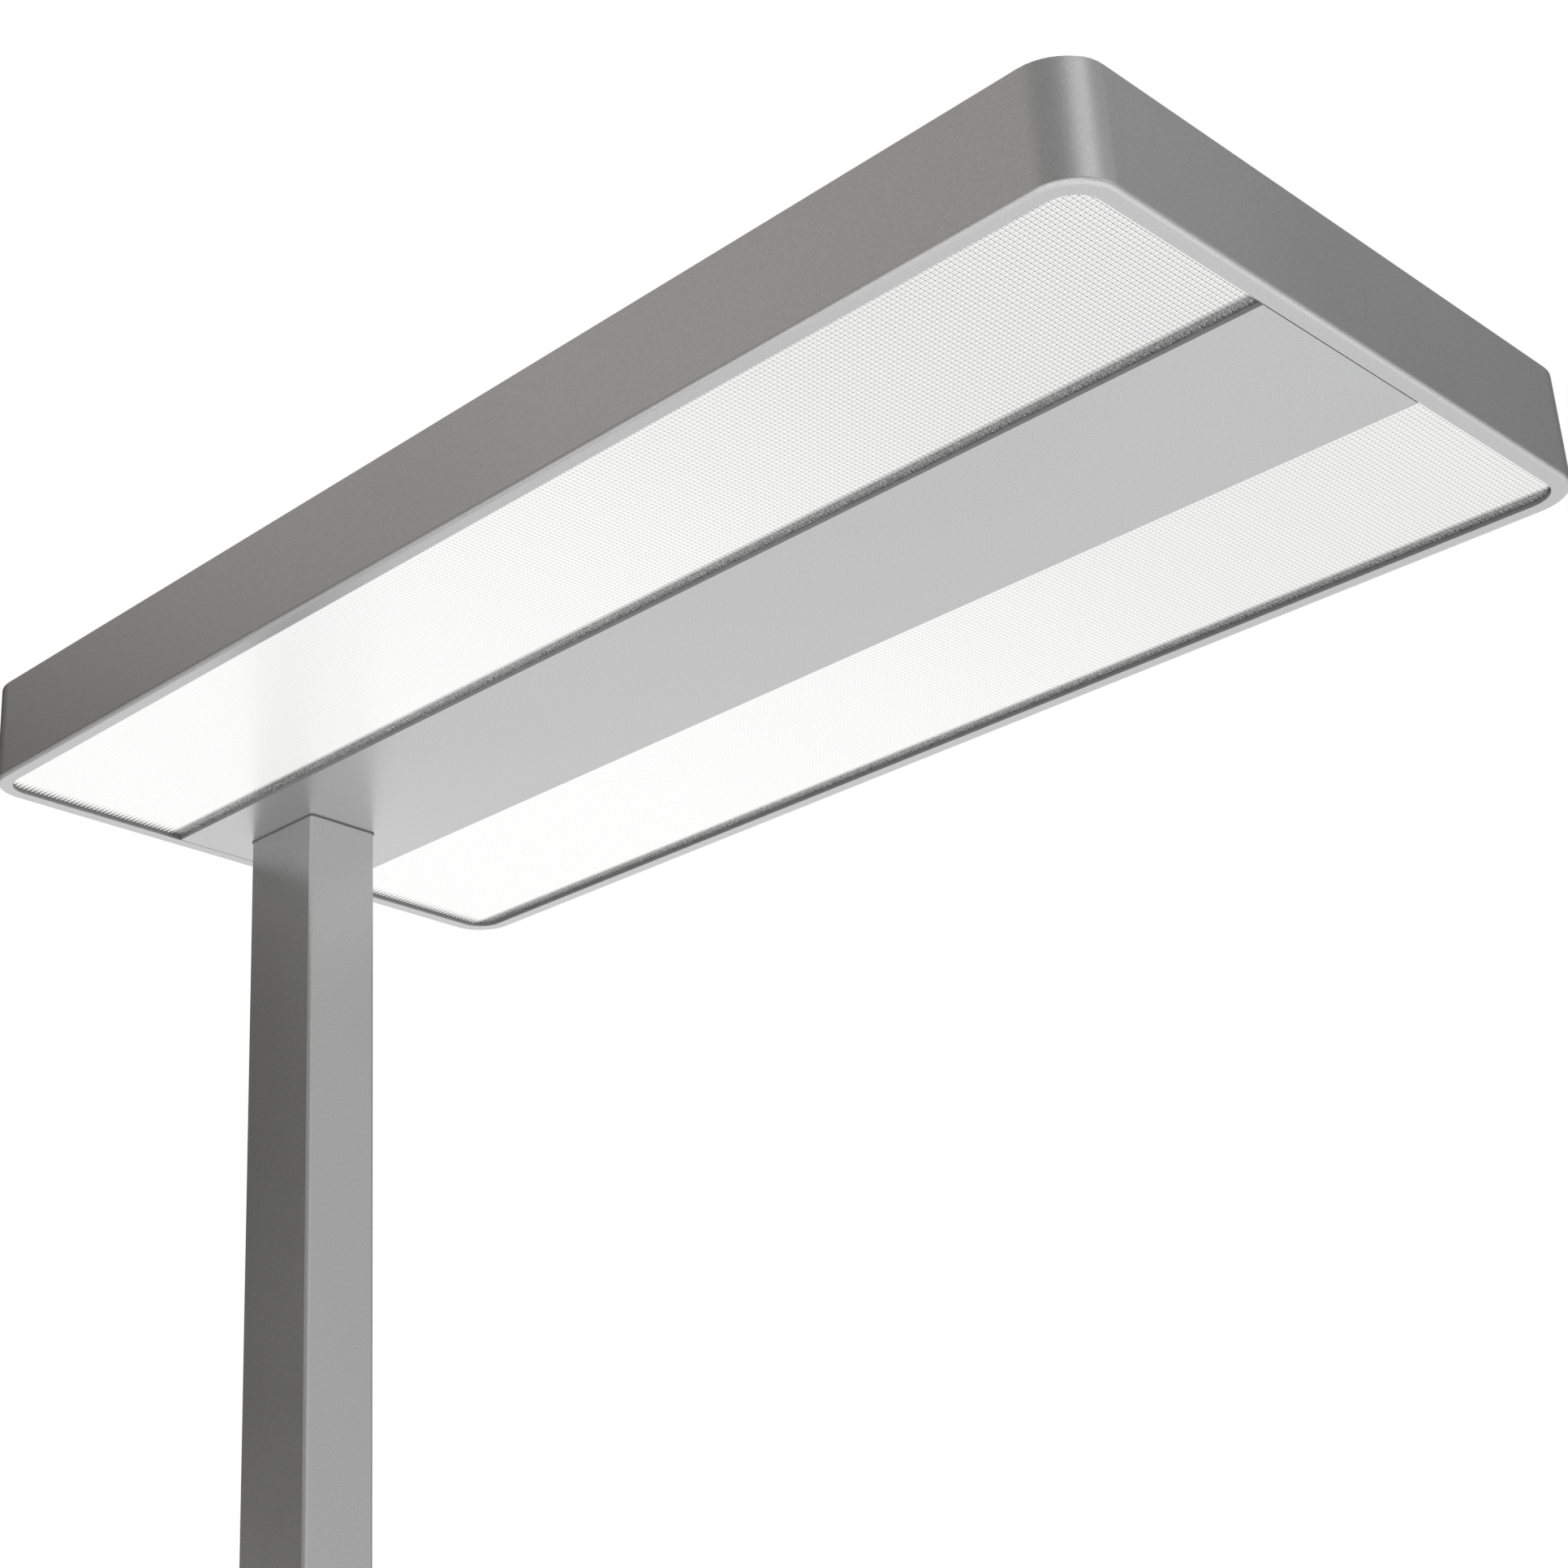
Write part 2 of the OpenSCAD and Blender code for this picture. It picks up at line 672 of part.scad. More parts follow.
module downlight_leds() {
  z = tray_top - tray_sheet - board_t - led_t;
  color([0.95, 0.85, 0.4]) for (side = [near, far], row = [-0.5, 0.5])
    on_side(side) led_row(board_y + row * led_row_gap, z);
}

module uplight_leds() {
  color([0.95, 0.85, 0.4]) for (side = [near, far])
    on_side(side) led_row(board_y, tray_top + board_t);
}

// Section of the spine: a channel with flanges turned in at the top
module spine_profile() {
  h = cover_z - lens_z;
  difference() {
    translate([-spine_w / 2, 0]) square([spine_w, h]);
    translate([-spine_w / 2 + spine_sheet, spine_sheet])
      square([spine_w - 2 * spine_sheet, h - 2 * spine_sheet]);
    translate([-spine_w / 2 + spine_flange_w, spine_sheet])
      square([spine_w - 2 * spine_flange_w, h]);
  }
}

module spine() {
  color([0.72, 0.73, 0.74]) difference() {
    translate([0, 0, lens_z]) rotate([90, 0, 90]) linear_extrude(inner_l - 2 * fit_gap, center = true)
      spine_profile();
    translate([post_x, 0, lens_z - over]) bracket_boss(fit_gap, spine_sheet + 2 * over);
    for (p = concat(panel_spots, spine_spots)) translate([p.x, p.y, lens_z - over])
      cylinder(d = screw_hole_d, h = spine_sheet + 2 * over);
    for (p = concat(bracket_spots, driver_spots)) translate([p.x, p.y, lens_z - over])
      cylinder(d = thread_d, h = spine_sheet + 2 * over);
    for (p = flange_spots) translate([p.x, p.y, cover_z - spine_sheet - over])
      cylinder(d = thread_d, h = spine_sheet + 2 * over);
    for (x = tray_screw_x, side = [near, far]) translate([x, side * spine_w / 2, tray_screw_z])
      rotate([90, 0, 0]) cylinder(d = screw_hole_d, h = 4 * spine_sheet, center = true);
    for (p = [[near_wire_x, near, down_wire_z], [far_wire_x, far, down_wire_z],
              [near_wire_x, near, up_wire_z], [up_far_wire_x, far, up_wire_z]])
      translate([p.x, p.y * spine_w / 2, p.z]) rotate([90, 0, 0])
        cylinder(d = wire_hole_d, h = 4 * spine_sheet, center = true);
  }
}

module top_cover() {
  color([0.66, 0.66, 0.67]) difference() {
    translate([0, 0, cover_z]) linear_extrude(cover_t) difference() {
      plan(inner_l - 2 * cover_gap, inner_w - 2 * cover_gap, inner_r - cover_gap);
      for (side = [near, far]) translate([0, side * window_y]) square([window_l, window_w], center = true);
    }
    for (p = concat(cover_spots, flange_spots)) translate([p.x, p.y, lamp_h])
      flat_hole(screw_d, 2 * screw_d, cover_t);
  }
}

module uplight_window(side) {
  l = window_l + 2 * window_lap;
  w = window_w + 2 * window_lap;
  color([0.9, 0.95, 0.97]) on_side(side)
    block([-l / 2, window_y - w / 2, cover_z - window_t], [l / 2, window_y + w / 2, cover_z]);
}

module driver(side) {
  color([0.95, 0.95, 0.94]) on_side(side) difference() {
    union() {
      block([driver_x, driver_y - driver_w / 2, floor_z],
            [driver_x + driver_l, driver_y + driver_w / 2, floor_z + driver_h]);
      block([driver_x - driver_tab_l, driver_y - driver_w / 4, floor_z],
            [driver_x + driver_l + driver_tab_l, driver_y + driver_w / 4, floor_z + driver_tab_t]);
    }
    for (p = driver_spots) translate([p.x, driver_y, floor_z - over])
      cylinder(d = screw_hole_d, h = driver_tab_t + 2 * over);
  }
}

module terminal_block() {
  pitch = terminal_l / well_count;
  color([0.2, 0.35, 0.25]) difference() {
    block([terminal_x, -terminal_y - terminal_w / 2, floor_z],
          [terminal_x + terminal_l, -terminal_y + terminal_w / 2, floor_z + terminal_h]);
    for (i = [0:well_count - 1], row = [-1, 1])
      translate([terminal_x + (i + 0.5) * pitch, -terminal_y + row * terminal_w / 4,
                 floor_z + terminal_h - well_depth])
        cylinder(d = well_d, h = well_depth + over);
  }
}

// Bracket ---------------------------------------------------------------------------------

// The boss of the bracket that stands on the post, grown by a gap
module bracket_boss(gap, h) {
  linear_extrude(h)
    plan(post_l - 2 * boss_inset + 2 * gap, post_w - 2 * boss_inset + 2 * gap, post_edge_r);
}

module head_bracket() {
  color([0.55, 0.56, 0.57]) difference() {
    union() {
      translate([post_x, 0, floor_z]) linear_extrude(bracket_t) plan(bracket_l, bracket_w, bracket_corner_r);
      translate([post_x, 0, head_z]) bracket_boss(0, bracket_top - head_z);
    }
    translate([post_x, 0, head_z - over]) cylinder(d = lead_hole_d, h = bracket_top - head_z + 2 * over);
    for (p = port_spots) translate([p.x, p.y, head_z - over])
      cylinder(d = bolt_hole_d, h = bracket_top - head_z + 2 * over);
    for (p = bracket_spots) translate([p.x, p.y, floor_z - over])
      cylinder(d = screw_hole_d, h = bracket_t + 2 * over);
  }
}

module bracket_bolts() {
  color([0.3, 0.3, 0.32]) for (p = port_spots) translate([p.x, p.y, bracket_top]) {
    translate([0, 0, -top_bolt_l]) cylinder(d = bolt_d, h = top_bolt_l);
    difference() {
      cylinder(d = bolt_head_d, h = bolt_d);
      translate([0, 0, bolt_d / 2]) cylinder(d = 0.8 * bolt_d, h = bolt_d, $fn = 6);
    }
  }
}

module bracket_screws() {
  l = bracket_t + spine_sheet + screw_past;
  color([0.75, 0.75, 0.76]) for (p = bracket_spots) translate([p.x, p.y, bracket_top]) pan_screw(screw_d, l);
}

module driver_screws() {
  l = driver_tab_t + spine_sheet + screw_past;
  color([0.75, 0.75, 0.76]) for (p = driver_spots) translate([p.x, p.y, floor_z + driver_tab_t])
    pan_screw(screw_d, l);
}

module spine_screws() {
  color([0.75, 0.75, 0.76]) for (p = spine_spots) translate([p.x, p.y, floor_z])
    pan_screw(screw_d, spine_sheet + rim_t - blind_t - tip_gap);
}

module panel_screws() {
  color([0.75, 0.75, 0.76]) for (p = panel_spots) translate([p.x, p.y, floor_z])
    pan_screw(screw_d, spine_sheet + rim_t - blind_t - tip_gap);
}

module tray_screws() {
  inner_face = spine_w / 2 - spine_sheet;
  l = lens_in + tray_sheet - inner_face + screw_past;
  color([0.75, 0.75, 0.76]) for (side = [near, far], x = tray_screw_x)
    on_side(side) translate([x, inner_face, tray_screw_z]) rotate([90, 0, 0])
      pan_screw(screw_d, l);
}

module cover_screws() {
  color([0.75, 0.75, 0.76]) {
    for (p = cover_spots) translate([p.x, p.y, lamp_h])
      flat_screw(screw_d, 2 * screw_d, cover_t + lug_h - blind_t - tip_gap);
    for (p = flange_spots) translate([p.x, p.y, lamp_h])
      flat_screw(screw_d, 2 * screw_d, cover_t + spine_sheet + screw_past);
  }
}

// Leads inside the head -------------------------------------------------------------------

// From the terminals to the near driver, and looped on to the far one
module supply_leads() {
  y = -terminal_y - terminal_w / 4;
  z = down_wire_z;
  loop_x = driver_x + wire_in;
  color([0.15, 0.15, 0.16]) {
    rod([terminal_x + terminal_l, y, z], [driver_x, y, z], wire_d);
    rod([loop_x, -driver_gap / 2, z], [loop_x, driver_gap / 2, z], wire_d);
  }
}

// From the near driver to the two downward boards, and from the far one to the upward boards
module led_leads() {
  bends = [wire_bend, wire_bend];
  out = driver_x + driver_l;
  down_z = tray_top - tray_sheet - board_t;
  up_z = tray_top + board_t;
  box_top = floor_z + driver_h;
  side_y = driver_gap / 2 + driver_w;
  start_y = driver_gap / 2 + driver_w / 4;
  far_y = driver_gap / 2 + 3 * driver_w / 4;
  color([0.75, 0.2, 0.15]) {
    lead([[near_wire_x, -side_y, down_wire_z], [near_wire_x, -down_wire_y, down_wire_z],
          [near_wire_x, -down_wire_y, down_z]], bends, wire_d);
    lead([[out, -start_y, down_wire_z], [far_wire_x, -start_y, down_wire_z],
          [far_wire_x, down_wire_y, down_wire_z], [far_wire_x, down_wire_y, down_z]], bends, wire_d);
    lead([[near_wire_x, start_y, box_top], [near_wire_x, start_y, up_wire_z],
          [near_wire_x, -up_wire_y, up_wire_z], [near_wire_x, -up_wire_y, up_z]], bends, wire_d);
    lead([[up_far_wire_x, far_y, box_top], [up_far_wire_x, far_y, up_wire_z],
          [up_far_wire_x, up_wire_y, up_wire_z], [up_far_wire_x, up_wire_y, up_z]], bends, wire_d);
  }
}

// Post ------------------------------------------------------------------------------------

// Section of the post: a tube with a screw channel in each corner
module post_profile() {
  difference() {
    union() {
      difference() {
        plan(post_l, post_w, post_edge_r);
        square([post_l - 2 * post_wall, post_w - 2 * post_wall], center = true);
      }
      intersection() {
        square([post_l - post_wall, post_w - post_wall], center = true);
        for (x = [-1, 1], y = [-1, 1]) translate([x * port_x, y * port_y])
          circle(d = port_bore_d + 2 * port_wall);
      }
    }
    for (x = [-1, 1], y = [-1, 1]) translate([x * port_x, y * port_y]) circle(d = port_bore_d);
  }
}

module post() {
  inlet_y = inlet_body_w / 2 + fit_gap;
  inlet_half_h = inlet_body_h / 2 + fit_gap;
  control_y = bezel_body_w / 2 + fit_gap;
  control_half_h = bezel_body_h / 2 + fit_gap;
  color([0.6, 0.6, 0.61]) difference() {
    translate([post_x, 0, post_z]) linear_extrude(post_top - post_z) post_profile();
    block([post_back - over, -inlet_y, inlet_h - inlet_half_h],
          [inlet_end + fit_gap, inlet_y, inlet_h + inlet_half_h]);
    block([post_front - post_wall - over, -control_y, control_h - control_half_h],
          [post_front + over, control_y, control_h + control_half_h]);
  }
}

// A gasket between an end of the post and what it meets
module gasket(z) {
  color([0.12, 0.12, 0.13]) translate([0, 0, z]) linear_extrude(gasket_t) difference() {
    translate([post_x, 0]) plan(post_l + 2 * gasket_proud, post_w + 2 * gasket_proud, post_edge_r);
    translate([post_x, 0]) circle(d = lead_hole_d);
    for (p = port_spots) translate(p) circle(d = bolt_hole_d);
  }
}

module post_gasket() {
  gasket(post_top);
}

module foot_gasket() {
  gasket(base_top);
}

// Control ---------------------------------------------------------------------------------

// A box in the front of the post, from depth x0 to depth x1, round the middle of the control
module control_box(x0, x1, w, h) {
  block([x0, -w / 2, control_h - h / 2], [x1, w / 2, control_h + h / 2]);
}

module control_bezel() {
  color([0.25, 0.25, 0.26]) difference() {
    union() {
      translate([post_front, 0, control_h]) rotate([0, 90, 0]) linear_extrude(bezel_proud)
        plan(bezel_h, bezel_w, bezel_corner_r);
      control_box(board_back, post_front + bezel_proud / 2, bezel_body_w, bezel_body_h);
    }
    control_box(board_back - over, cavity_x, collar_d + 2 * button_gap, seat_h - 2 * seat_step);
    control_box(board_back - over, board_face, seat_w, seat_h);
    for (step = [-1:1]) translate([cavity_x - over, 0, control_h + step * button_pitch]) rotate([0, 90, 0])
      cylinder(d = button_d + 2 * button_gap, h = bezel_front_t + 2 * over);
  }
}

// A push-button, a step of the pitch above the middle of the control
module button(step) {
  stem_end = switch_face - stem_dip;
  color([0.75, 0.76, 0.77]) translate([0, 0, control_h + step * button_pitch]) {
    rod([collar_x, 0, 0], [bezel_face + button_proud, 0, 0], button_d);
    rod([collar_x - button_collar_t, 0, 0], [collar_x, 0, 0], collar_d);
    rod([stem_end, 0, 0], [collar_x - button_collar_t, 0, 0], stem_d);
  }
}

module push_switches() {
  color([0.1, 0.1, 0.1]) for (step = [-1:1]) translate([0, 0, control_h + step * button_pitch]) difference() {
    block([board_face, -switch_w / 2, -switch_w / 2], [switch_face, switch_w / 2, switch_w / 2]);
    translate([switch_face - switch_well, 0, 0]) rotate([0, 90, 0])
      cylinder(d = stem_d + 2 * button_gap, h = switch_well + over);
  }
}

module control_board() {
  color([0.1, 0.35, 0.2])
    control_box(board_back, board_face, seat_w - 2 * thread_gap, seat_h - 2 * thread_gap);
}

// From the control board up inside the post to the far driver
module control_lead() {
  x = post_x + control_lead_x;
  color([0.85, 0.85, 0.85])
    lead([[board_back, lead_y, control_h], [x, lead_y, control_h], [x, lead_y, control_lead_z],
          [driver_x, lead_y, control_lead_z]], [control_bend, control_top_bend], control_lead_d);
}

// Mains inlet -----------------------------------------------------------------------------

module mains_inlet() {
  lip_w = inlet_body_w + 2 * inlet_lip;
  lip_h = inlet_body_h + 2 * inlet_lip;
  color([0.08, 0.08, 0.09]) difference() {
    union() {
      translate([inlet_mouth, 0, inlet_h]) rotate([0, 90, 0]) linear_extrude(inlet_lip_t)
        plan(lip_h, lip_w, inlet_corner_r);
      block([post_back - inlet_lip_t / 2, -inlet_body_w / 2, inlet_h - inlet_body_h / 2],
            [inlet_end, inlet_body_w / 2, inlet_h + inlet_body_h / 2]);
    }
    block([inlet_mouth - over, -socket_w / 2, inlet_h - socket_h / 2],
          [socket_end, socket_w / 2, inlet_h + socket_h / 2]);
    for (p = pin_places) pin_bar(p, socket_end - over, inlet_end + over);
  }
}

module pin_bar(p, x0, x1) {
  block([x0, p.x - pin_w / 2, inlet_h + p.y - pin_t / 2], [x1, p.x + pin_w / 2, inlet_h + p.y + pin_t / 2]);
}

module inlet_pins() {
  color([0.8, 0.7, 0.4]) for (p = pin_places) pin_bar(p, inlet_mouth + pin_recess, inlet_end);
}

// From the inlet up inside the post to the terminals in the head
module mains_lead() {
  x = post_x + mains_lead_x;
  color([0.15, 0.15, 0.16])
    lead([[inlet_end, -lead_y, inlet_h], [x, -lead_y, inlet_h], [x, -lead_y, mains_lead_z],
          [terminal_x, -lead_y, mains_lead_z]], [mains_bend, mains_top_bend], mains_lead_d);
}

// Foot ------------------------------------------------------------------------------------

// Section of the foot plate's edge
module base_profile() {
  r = base_corner_r;
  square([r, base_t - base_edge_r]);
  square([r - base_edge_r, base_t]);
  translate([r - base_edge_r, base_t - base_edge_r]) quarter(base_edge_r);
}

module base_plate() {
  l = base_l - 2 * base_corner_r;
  w = base_w - 2 * base_corner_r;
  color([0.6, 0.6, 0.61]) difference() {
    translate([base_x, 0, base_z]) {
      sweep_round(base_l, base_w, base_corner_r) base_profile();
      block([-l / 2, -w / 2, 0], [l / 2, w / 2, base_t]);
    }
    for (p = port_spots) translate([p.x, p.y, base_z]) mirror([0, 0, 1])
      flat_hole(bolt_d, foot_head_d, base_t);
    for (p = pad_spots) translate([p.x, p.y, base_z - over])
      cylinder(d = pad_d + 2 * thread_gap, h = pad_seat + over);
  }
}

module base_bolts() {
  color([0.3, 0.3, 0.32]) for (p = port_spots) translate([p.x, p.y, base_z]) mirror([0, 0, 1])
    flat_screw(bolt_d, foot_head_d, foot_bolt_l);
}

module base_pads() {
  color([0.1, 0.1, 0.1]) for (p = pad_spots) translate(p) cylinder(d = pad_d, h = pad_t);
}

// Drawing ---------------------------------------------------------------------------------

head_frame();
centre_panel();
lens(near);  // lens_near
lens(far);  // lens_far
diffuser(near);  // diffuser_near
diffuser(far);  // diffuser_far
reflector(near);  // reflector_near
reflector(far);  // reflector_far
led_board(near);  // led_board_near
led_board(far);  // led_board_far
downlight_leds();
uplight_board(near);  // uplight_board_near
uplight_board(far);  // uplight_board_far
uplight_leds();
spine();
top_cover();
uplight_window(near);  // uplight_window_near
uplight_window(far);  // uplight_window_far
driver(near);  // driver_downlight
driver(far);  // driver_uplight
driver_screws();
terminal_block();
head_bracket();
bracket_bolts();
bracket_screws();
spine_screws();
panel_screws();
tray_screws();
cover_screws();
supply_leads();
led_leads();
post_gasket();
post();
foot_gasket();
control_bezel();
button(power_step);  // power_button
button(brighter_step);  // brighter_button
button(dimmer_step);  // dimmer_button
push_switches();
control_board();
control_lead();
mains_inlet();
inlet_pins();
mains_lead();
base_plate();
base_bolts();
base_pads();
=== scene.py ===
# %% [markdown]
# # An office floor lamp, dressed for its portrait
# The solids of the lamp are already built. This script gives them the looks of the real thing:
# silver powder coat, lit prismatic lenses, rubber, plastic and board, and then sets up a plain studio.
# The solids could be built again here, but loading them from model.glb keeps every piece where it was
# built. Everything is in metres, and the origin is on the floor under the middle of the lamp's head.

# %% Load the imported lamp
import math

import bmesh
import bpy
from mathutils import Matrix, Vector


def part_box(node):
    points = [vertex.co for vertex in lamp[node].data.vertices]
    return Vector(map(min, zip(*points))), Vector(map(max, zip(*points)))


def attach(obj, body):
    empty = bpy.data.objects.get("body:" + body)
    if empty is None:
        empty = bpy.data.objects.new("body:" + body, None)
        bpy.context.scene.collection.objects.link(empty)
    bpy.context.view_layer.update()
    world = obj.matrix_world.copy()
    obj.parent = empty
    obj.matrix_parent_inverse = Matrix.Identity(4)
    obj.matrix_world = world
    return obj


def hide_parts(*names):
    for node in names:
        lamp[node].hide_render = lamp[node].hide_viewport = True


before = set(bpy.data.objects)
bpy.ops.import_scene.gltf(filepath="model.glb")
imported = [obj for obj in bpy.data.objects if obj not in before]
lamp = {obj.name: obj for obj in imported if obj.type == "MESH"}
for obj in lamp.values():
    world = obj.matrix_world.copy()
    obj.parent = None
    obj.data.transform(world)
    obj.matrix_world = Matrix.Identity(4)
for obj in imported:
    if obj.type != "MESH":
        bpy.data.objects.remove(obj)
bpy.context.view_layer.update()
scene = bpy.context.scene
print("nodes in the lamp:", len(lamp))

# %% [markdown]
# ## The camera
# The photograph looks up at the head from below, past its front end, with the post falling away on the left.
# A camera can be placed by eye and nudged until the outline fits. Here it was worked out from the corners of
# the head instead: they are a rectangle whose size is known, so their places in the picture fix the camera.
# The head sits off the middle of the frame, and the lens shift takes care of that without turning the view.

# %% Place the camera
PICTURE_PX = 1932
LENS_PX = 3328.21
MIDDLE_PX = (560.0, 1006.0)  # the pixel that the camera points at
SENSOR_MM = 36.0
EYE_PLACE = Vector((0.725354, -0.784923, 1.381090))
LOOK_RIGHT = Vector((0.6583356, 0.7526470, -0.0108048))
LOOK_DOWN = Vector((-0.2968765, 0.2464319, -0.9225701))
LOOK_AHEAD = Vector((-0.6917070, 0.6105685, 0.3856781))

eye = bpy.data.cameras.new("portrait_camera")
camera = bpy.data.objects.new("portrait_camera", eye)
scene.collection.objects.link(camera)
scene.camera = camera
turn = Matrix((LOOK_RIGHT, -LOOK_DOWN, -LOOK_AHEAD)).transposed().to_4x4()
camera.matrix_world = Matrix.Translation(EYE_PLACE) @ turn

eye.sensor_fit = "HORIZONTAL"
eye.sensor_width = SENSOR_MM
eye.lens = LENS_PX / PICTURE_PX * SENSOR_MM
eye.shift_x = (PICTURE_PX / 2 - MIDDLE_PX[0]) / PICTURE_PX
eye.shift_y = (MIDDLE_PX[1] - PICTURE_PX / 2) / PICTURE_PX
eye.clip_start = 0.02
eye.clip_end = 200.0
print("lens of %.1f mm, shifted by %.3f and %.3f" % (eye.lens, eye.shift_x, eye.shift_y))

# %% [markdown]
# ## Even shine on the big parts
# The head, the cover, the post and the foot are bent and extruded metal, and light runs over their rounded
# edges without a break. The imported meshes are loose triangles, and where a rounding meets a flat wall their
# shading jumps. More triangles would only make the jump smaller, so each mesh is copied and merged, its flat
# areas become single faces, and a Weighted Normal modifier lets the large flat face decide the shading at
# the seam. The shape stays exactly that of the solid.

# %% Copy and merge the big parts
SAME_POINT = 2e-6
SAME_PLANE = math.radians(0.05)
SHARP = math.radians(30.0)


def finished(node, name):
    """A merged copy of a node that takes its place, shaded smoothly across its roundings."""
    shape = bmesh.new()
    shape.from_mesh(lamp[node].data)
    bmesh.ops.remove_doubles(shape, verts=shape.verts, dist=SAME_POINT)
    bmesh.ops.dissolve_limit(shape, angle_limit=SAME_PLANE, verts=shape.verts, edges=shape.edges)
    for face in shape.faces:
        face.smooth = True
    for edge in shape.edges:
        edge.smooth = len(edge.link_faces) == 2 and edge.calc_face_angle(0.0) < SHARP
    mesh = bpy.data.meshes.new(name)
    shape.to_mesh(mesh)
    shape.free()
    piece = bpy.data.objects.new(name, mesh)
    scene.collection.objects.link(piece)
    shine = piece.modifiers.new("even_shine", "WEIGHTED_NORMAL")
    shine.mode = "FACE_AREA"
    shine.weight = 80
    shine.keep_sharp = True
    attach(piece, "lamp")
    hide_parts(node)
    print(name, "has", len(mesh.polygons), "faces")


finished("head_frame", "finished_head_frame")
finished("top_cover", "finished_top_cover")
finished("post", "finished_post")
finished("base_plate", "finished_foot")

# %% [markdown]
# ## A finish starts with a shader
# Every finish on the lamp is a Principled shader with small patterns in its colour, roughness and bump.
# Blender's new materials come with nodes in them, but an empty tree holds nothing that isn't asked for. What
# is the same all over a piece, such as its metalness or IOR, is set on the shader itself.

# %% Start a finish
def start_finish(name, roughness, metallic=0.0, ior=1.5):
    """A new finish with a shader: gives the finish, its tree of nodes and the shader."""
    finish = bpy.data.materials.new(name)
    finish.use_nodes = True
    tree = finish.node_tree
    tree.nodes.clear()
    out = tree.nodes.new("ShaderNodeOutputMaterial")
    shader = tree.nodes.new("ShaderNodeBsdfPrincipled")
    tree.links.new(shader.outputs["BSDF"], out.inputs["Surface"])
    shader.inputs["Roughness"].default_value = roughness
    shader.inputs["Metallic"].default_value = metallic
    shader.inputs["IOR"].default_value = ior
    return finish, tree, shader


def find_node(tree, kind):
    """The first node of that kind in a tree."""
    return next(n for n in tree.nodes if n.type == kind)


print("finishes before the first one is mixed:", len(bpy.data.materials))

# %% [markdown]
# ## Patterns from a point's own place
# The patterns could be painted pictures, but noise that is worked out from a point's own place needs no
# picture and no unwrapping, and it keeps its real size on every piece. So the grain is given in
# millimetres, and the same few helpers serve every finish.

# %% Make the patterns
def place_on_object(tree, stretch=(1.0, 1.0, 1.0)):
    """A point's place on the piece, in metres, stretched along an axis where the pattern is."""
    spot = tree.nodes.new("ShaderNodeTexCoord")
    mapping = tree.nodes.new("ShaderNodeMapping")
    mapping.inputs["Scale"].default_value = stretch
    tree.links.new(spot.outputs["Object"], mapping.inputs["Vector"])
    return mapping.outputs["Vector"]


def noise_scale(size_mm):
    """The noise's scale for soft patches of that size: two of them make up one of its waves."""
    return 1000.0 / size_mm / 2.0


def grain(tree, size_mm, detail=2.0, stretch=(1.0, 1.0, 1.0)):
    """Soft random patches of about size_mm, from 0 to 1."""
    noise = tree.nodes.new("ShaderNodeTexNoise")
    noise.inputs["Scale"].default_value = noise_scale(size_mm)
    noise.inputs["Detail"].default_value = detail
    tree.links.new(place_on_object(tree, stretch), noise.inputs["Vector"])
    return noise.outputs["Fac"]


def spread(tree, value, low, high, from_low=0.3, from_high=0.7):
    """Turns a pattern from from_low..from_high into low..high."""
    node = tree.nodes.new("ShaderNodeMapRange")
    node.inputs["From Min"].default_value = from_low
    node.inputs["From Max"].default_value = from_high
    node.inputs["To Min"].default_value = low
    node.inputs["To Max"].default_value = high
    tree.links.new(value, node.inputs["Value"])
    return node.outputs["Result"]


print("a grain of 0.5 mm asks for noise of scale", noise_scale(0.5))

# %% [markdown]
# ## Patterns at work
# A pattern shows in the colour as a darker and a lighter tone, in the roughness as duller and shinier
# patches, and in the bump as a fine relief. A displacement of the mesh would give a real relief, but one
# that is finer than the mesh's triangles is out of its reach, so a bump in the shading is enough.

# %% Put the patterns to work
def two_tones(tree, value, dark, light, into):
    """Mixes two colours by a pattern and feeds the socket named by into."""
    node = tree.nodes.new("ShaderNodeMix")
    node.data_type = "RGBA"
    node.inputs["A"].default_value = (*dark, 1.0)
    node.inputs["B"].default_value = (*light, 1.0)
    tree.links.new(value, node.inputs["Factor"])
    tree.links.new(node.outputs["Result"], into)
    return node


def mottle(tree, pattern, colour, by, into):
    """Darkens and lightens a colour by a share, as the pattern goes."""
    dark = tuple(c * (1 - by) for c in colour)
    light = tuple(min(1.0, c * (1 + by)) for c in colour)
    two_tones(tree, spread(tree, pattern, 0.0, 1.0), dark, light, into)


def uneven_shine(tree, shader, pattern, shiny, dull):
    """Lets the roughness go from shiny to dull, as the pattern goes."""
    tree.links.new(spread(tree, pattern, shiny, dull), shader.inputs["Roughness"])


def dimple(tree, shader, value, depth_mm):
    """Gives the surface a bump as deep as depth_mm where the pattern goes from 0 to 1."""
    node = tree.nodes.new("ShaderNodeBump")
    node.inputs["Strength"].default_value = 1.0
    node.inputs["Distance"].default_value = depth_mm / 1000.0
    tree.links.new(value, node.inputs["Height"])
    tree.links.new(node.outputs["Normal"], shader.inputs["Normal"])


def dress(finish, *names):
    """Puts a finish on nodes of the lamp or on new pieces."""
    for name in names:
        mesh = (lamp.get(name) or bpy.data.objects[name]).data
        mesh.materials.clear()
        mesh.materials.append(finish)
    print(finish.name, "->", ", ".join(names))


print("nodes that still wear their plain finish:", len(lamp))

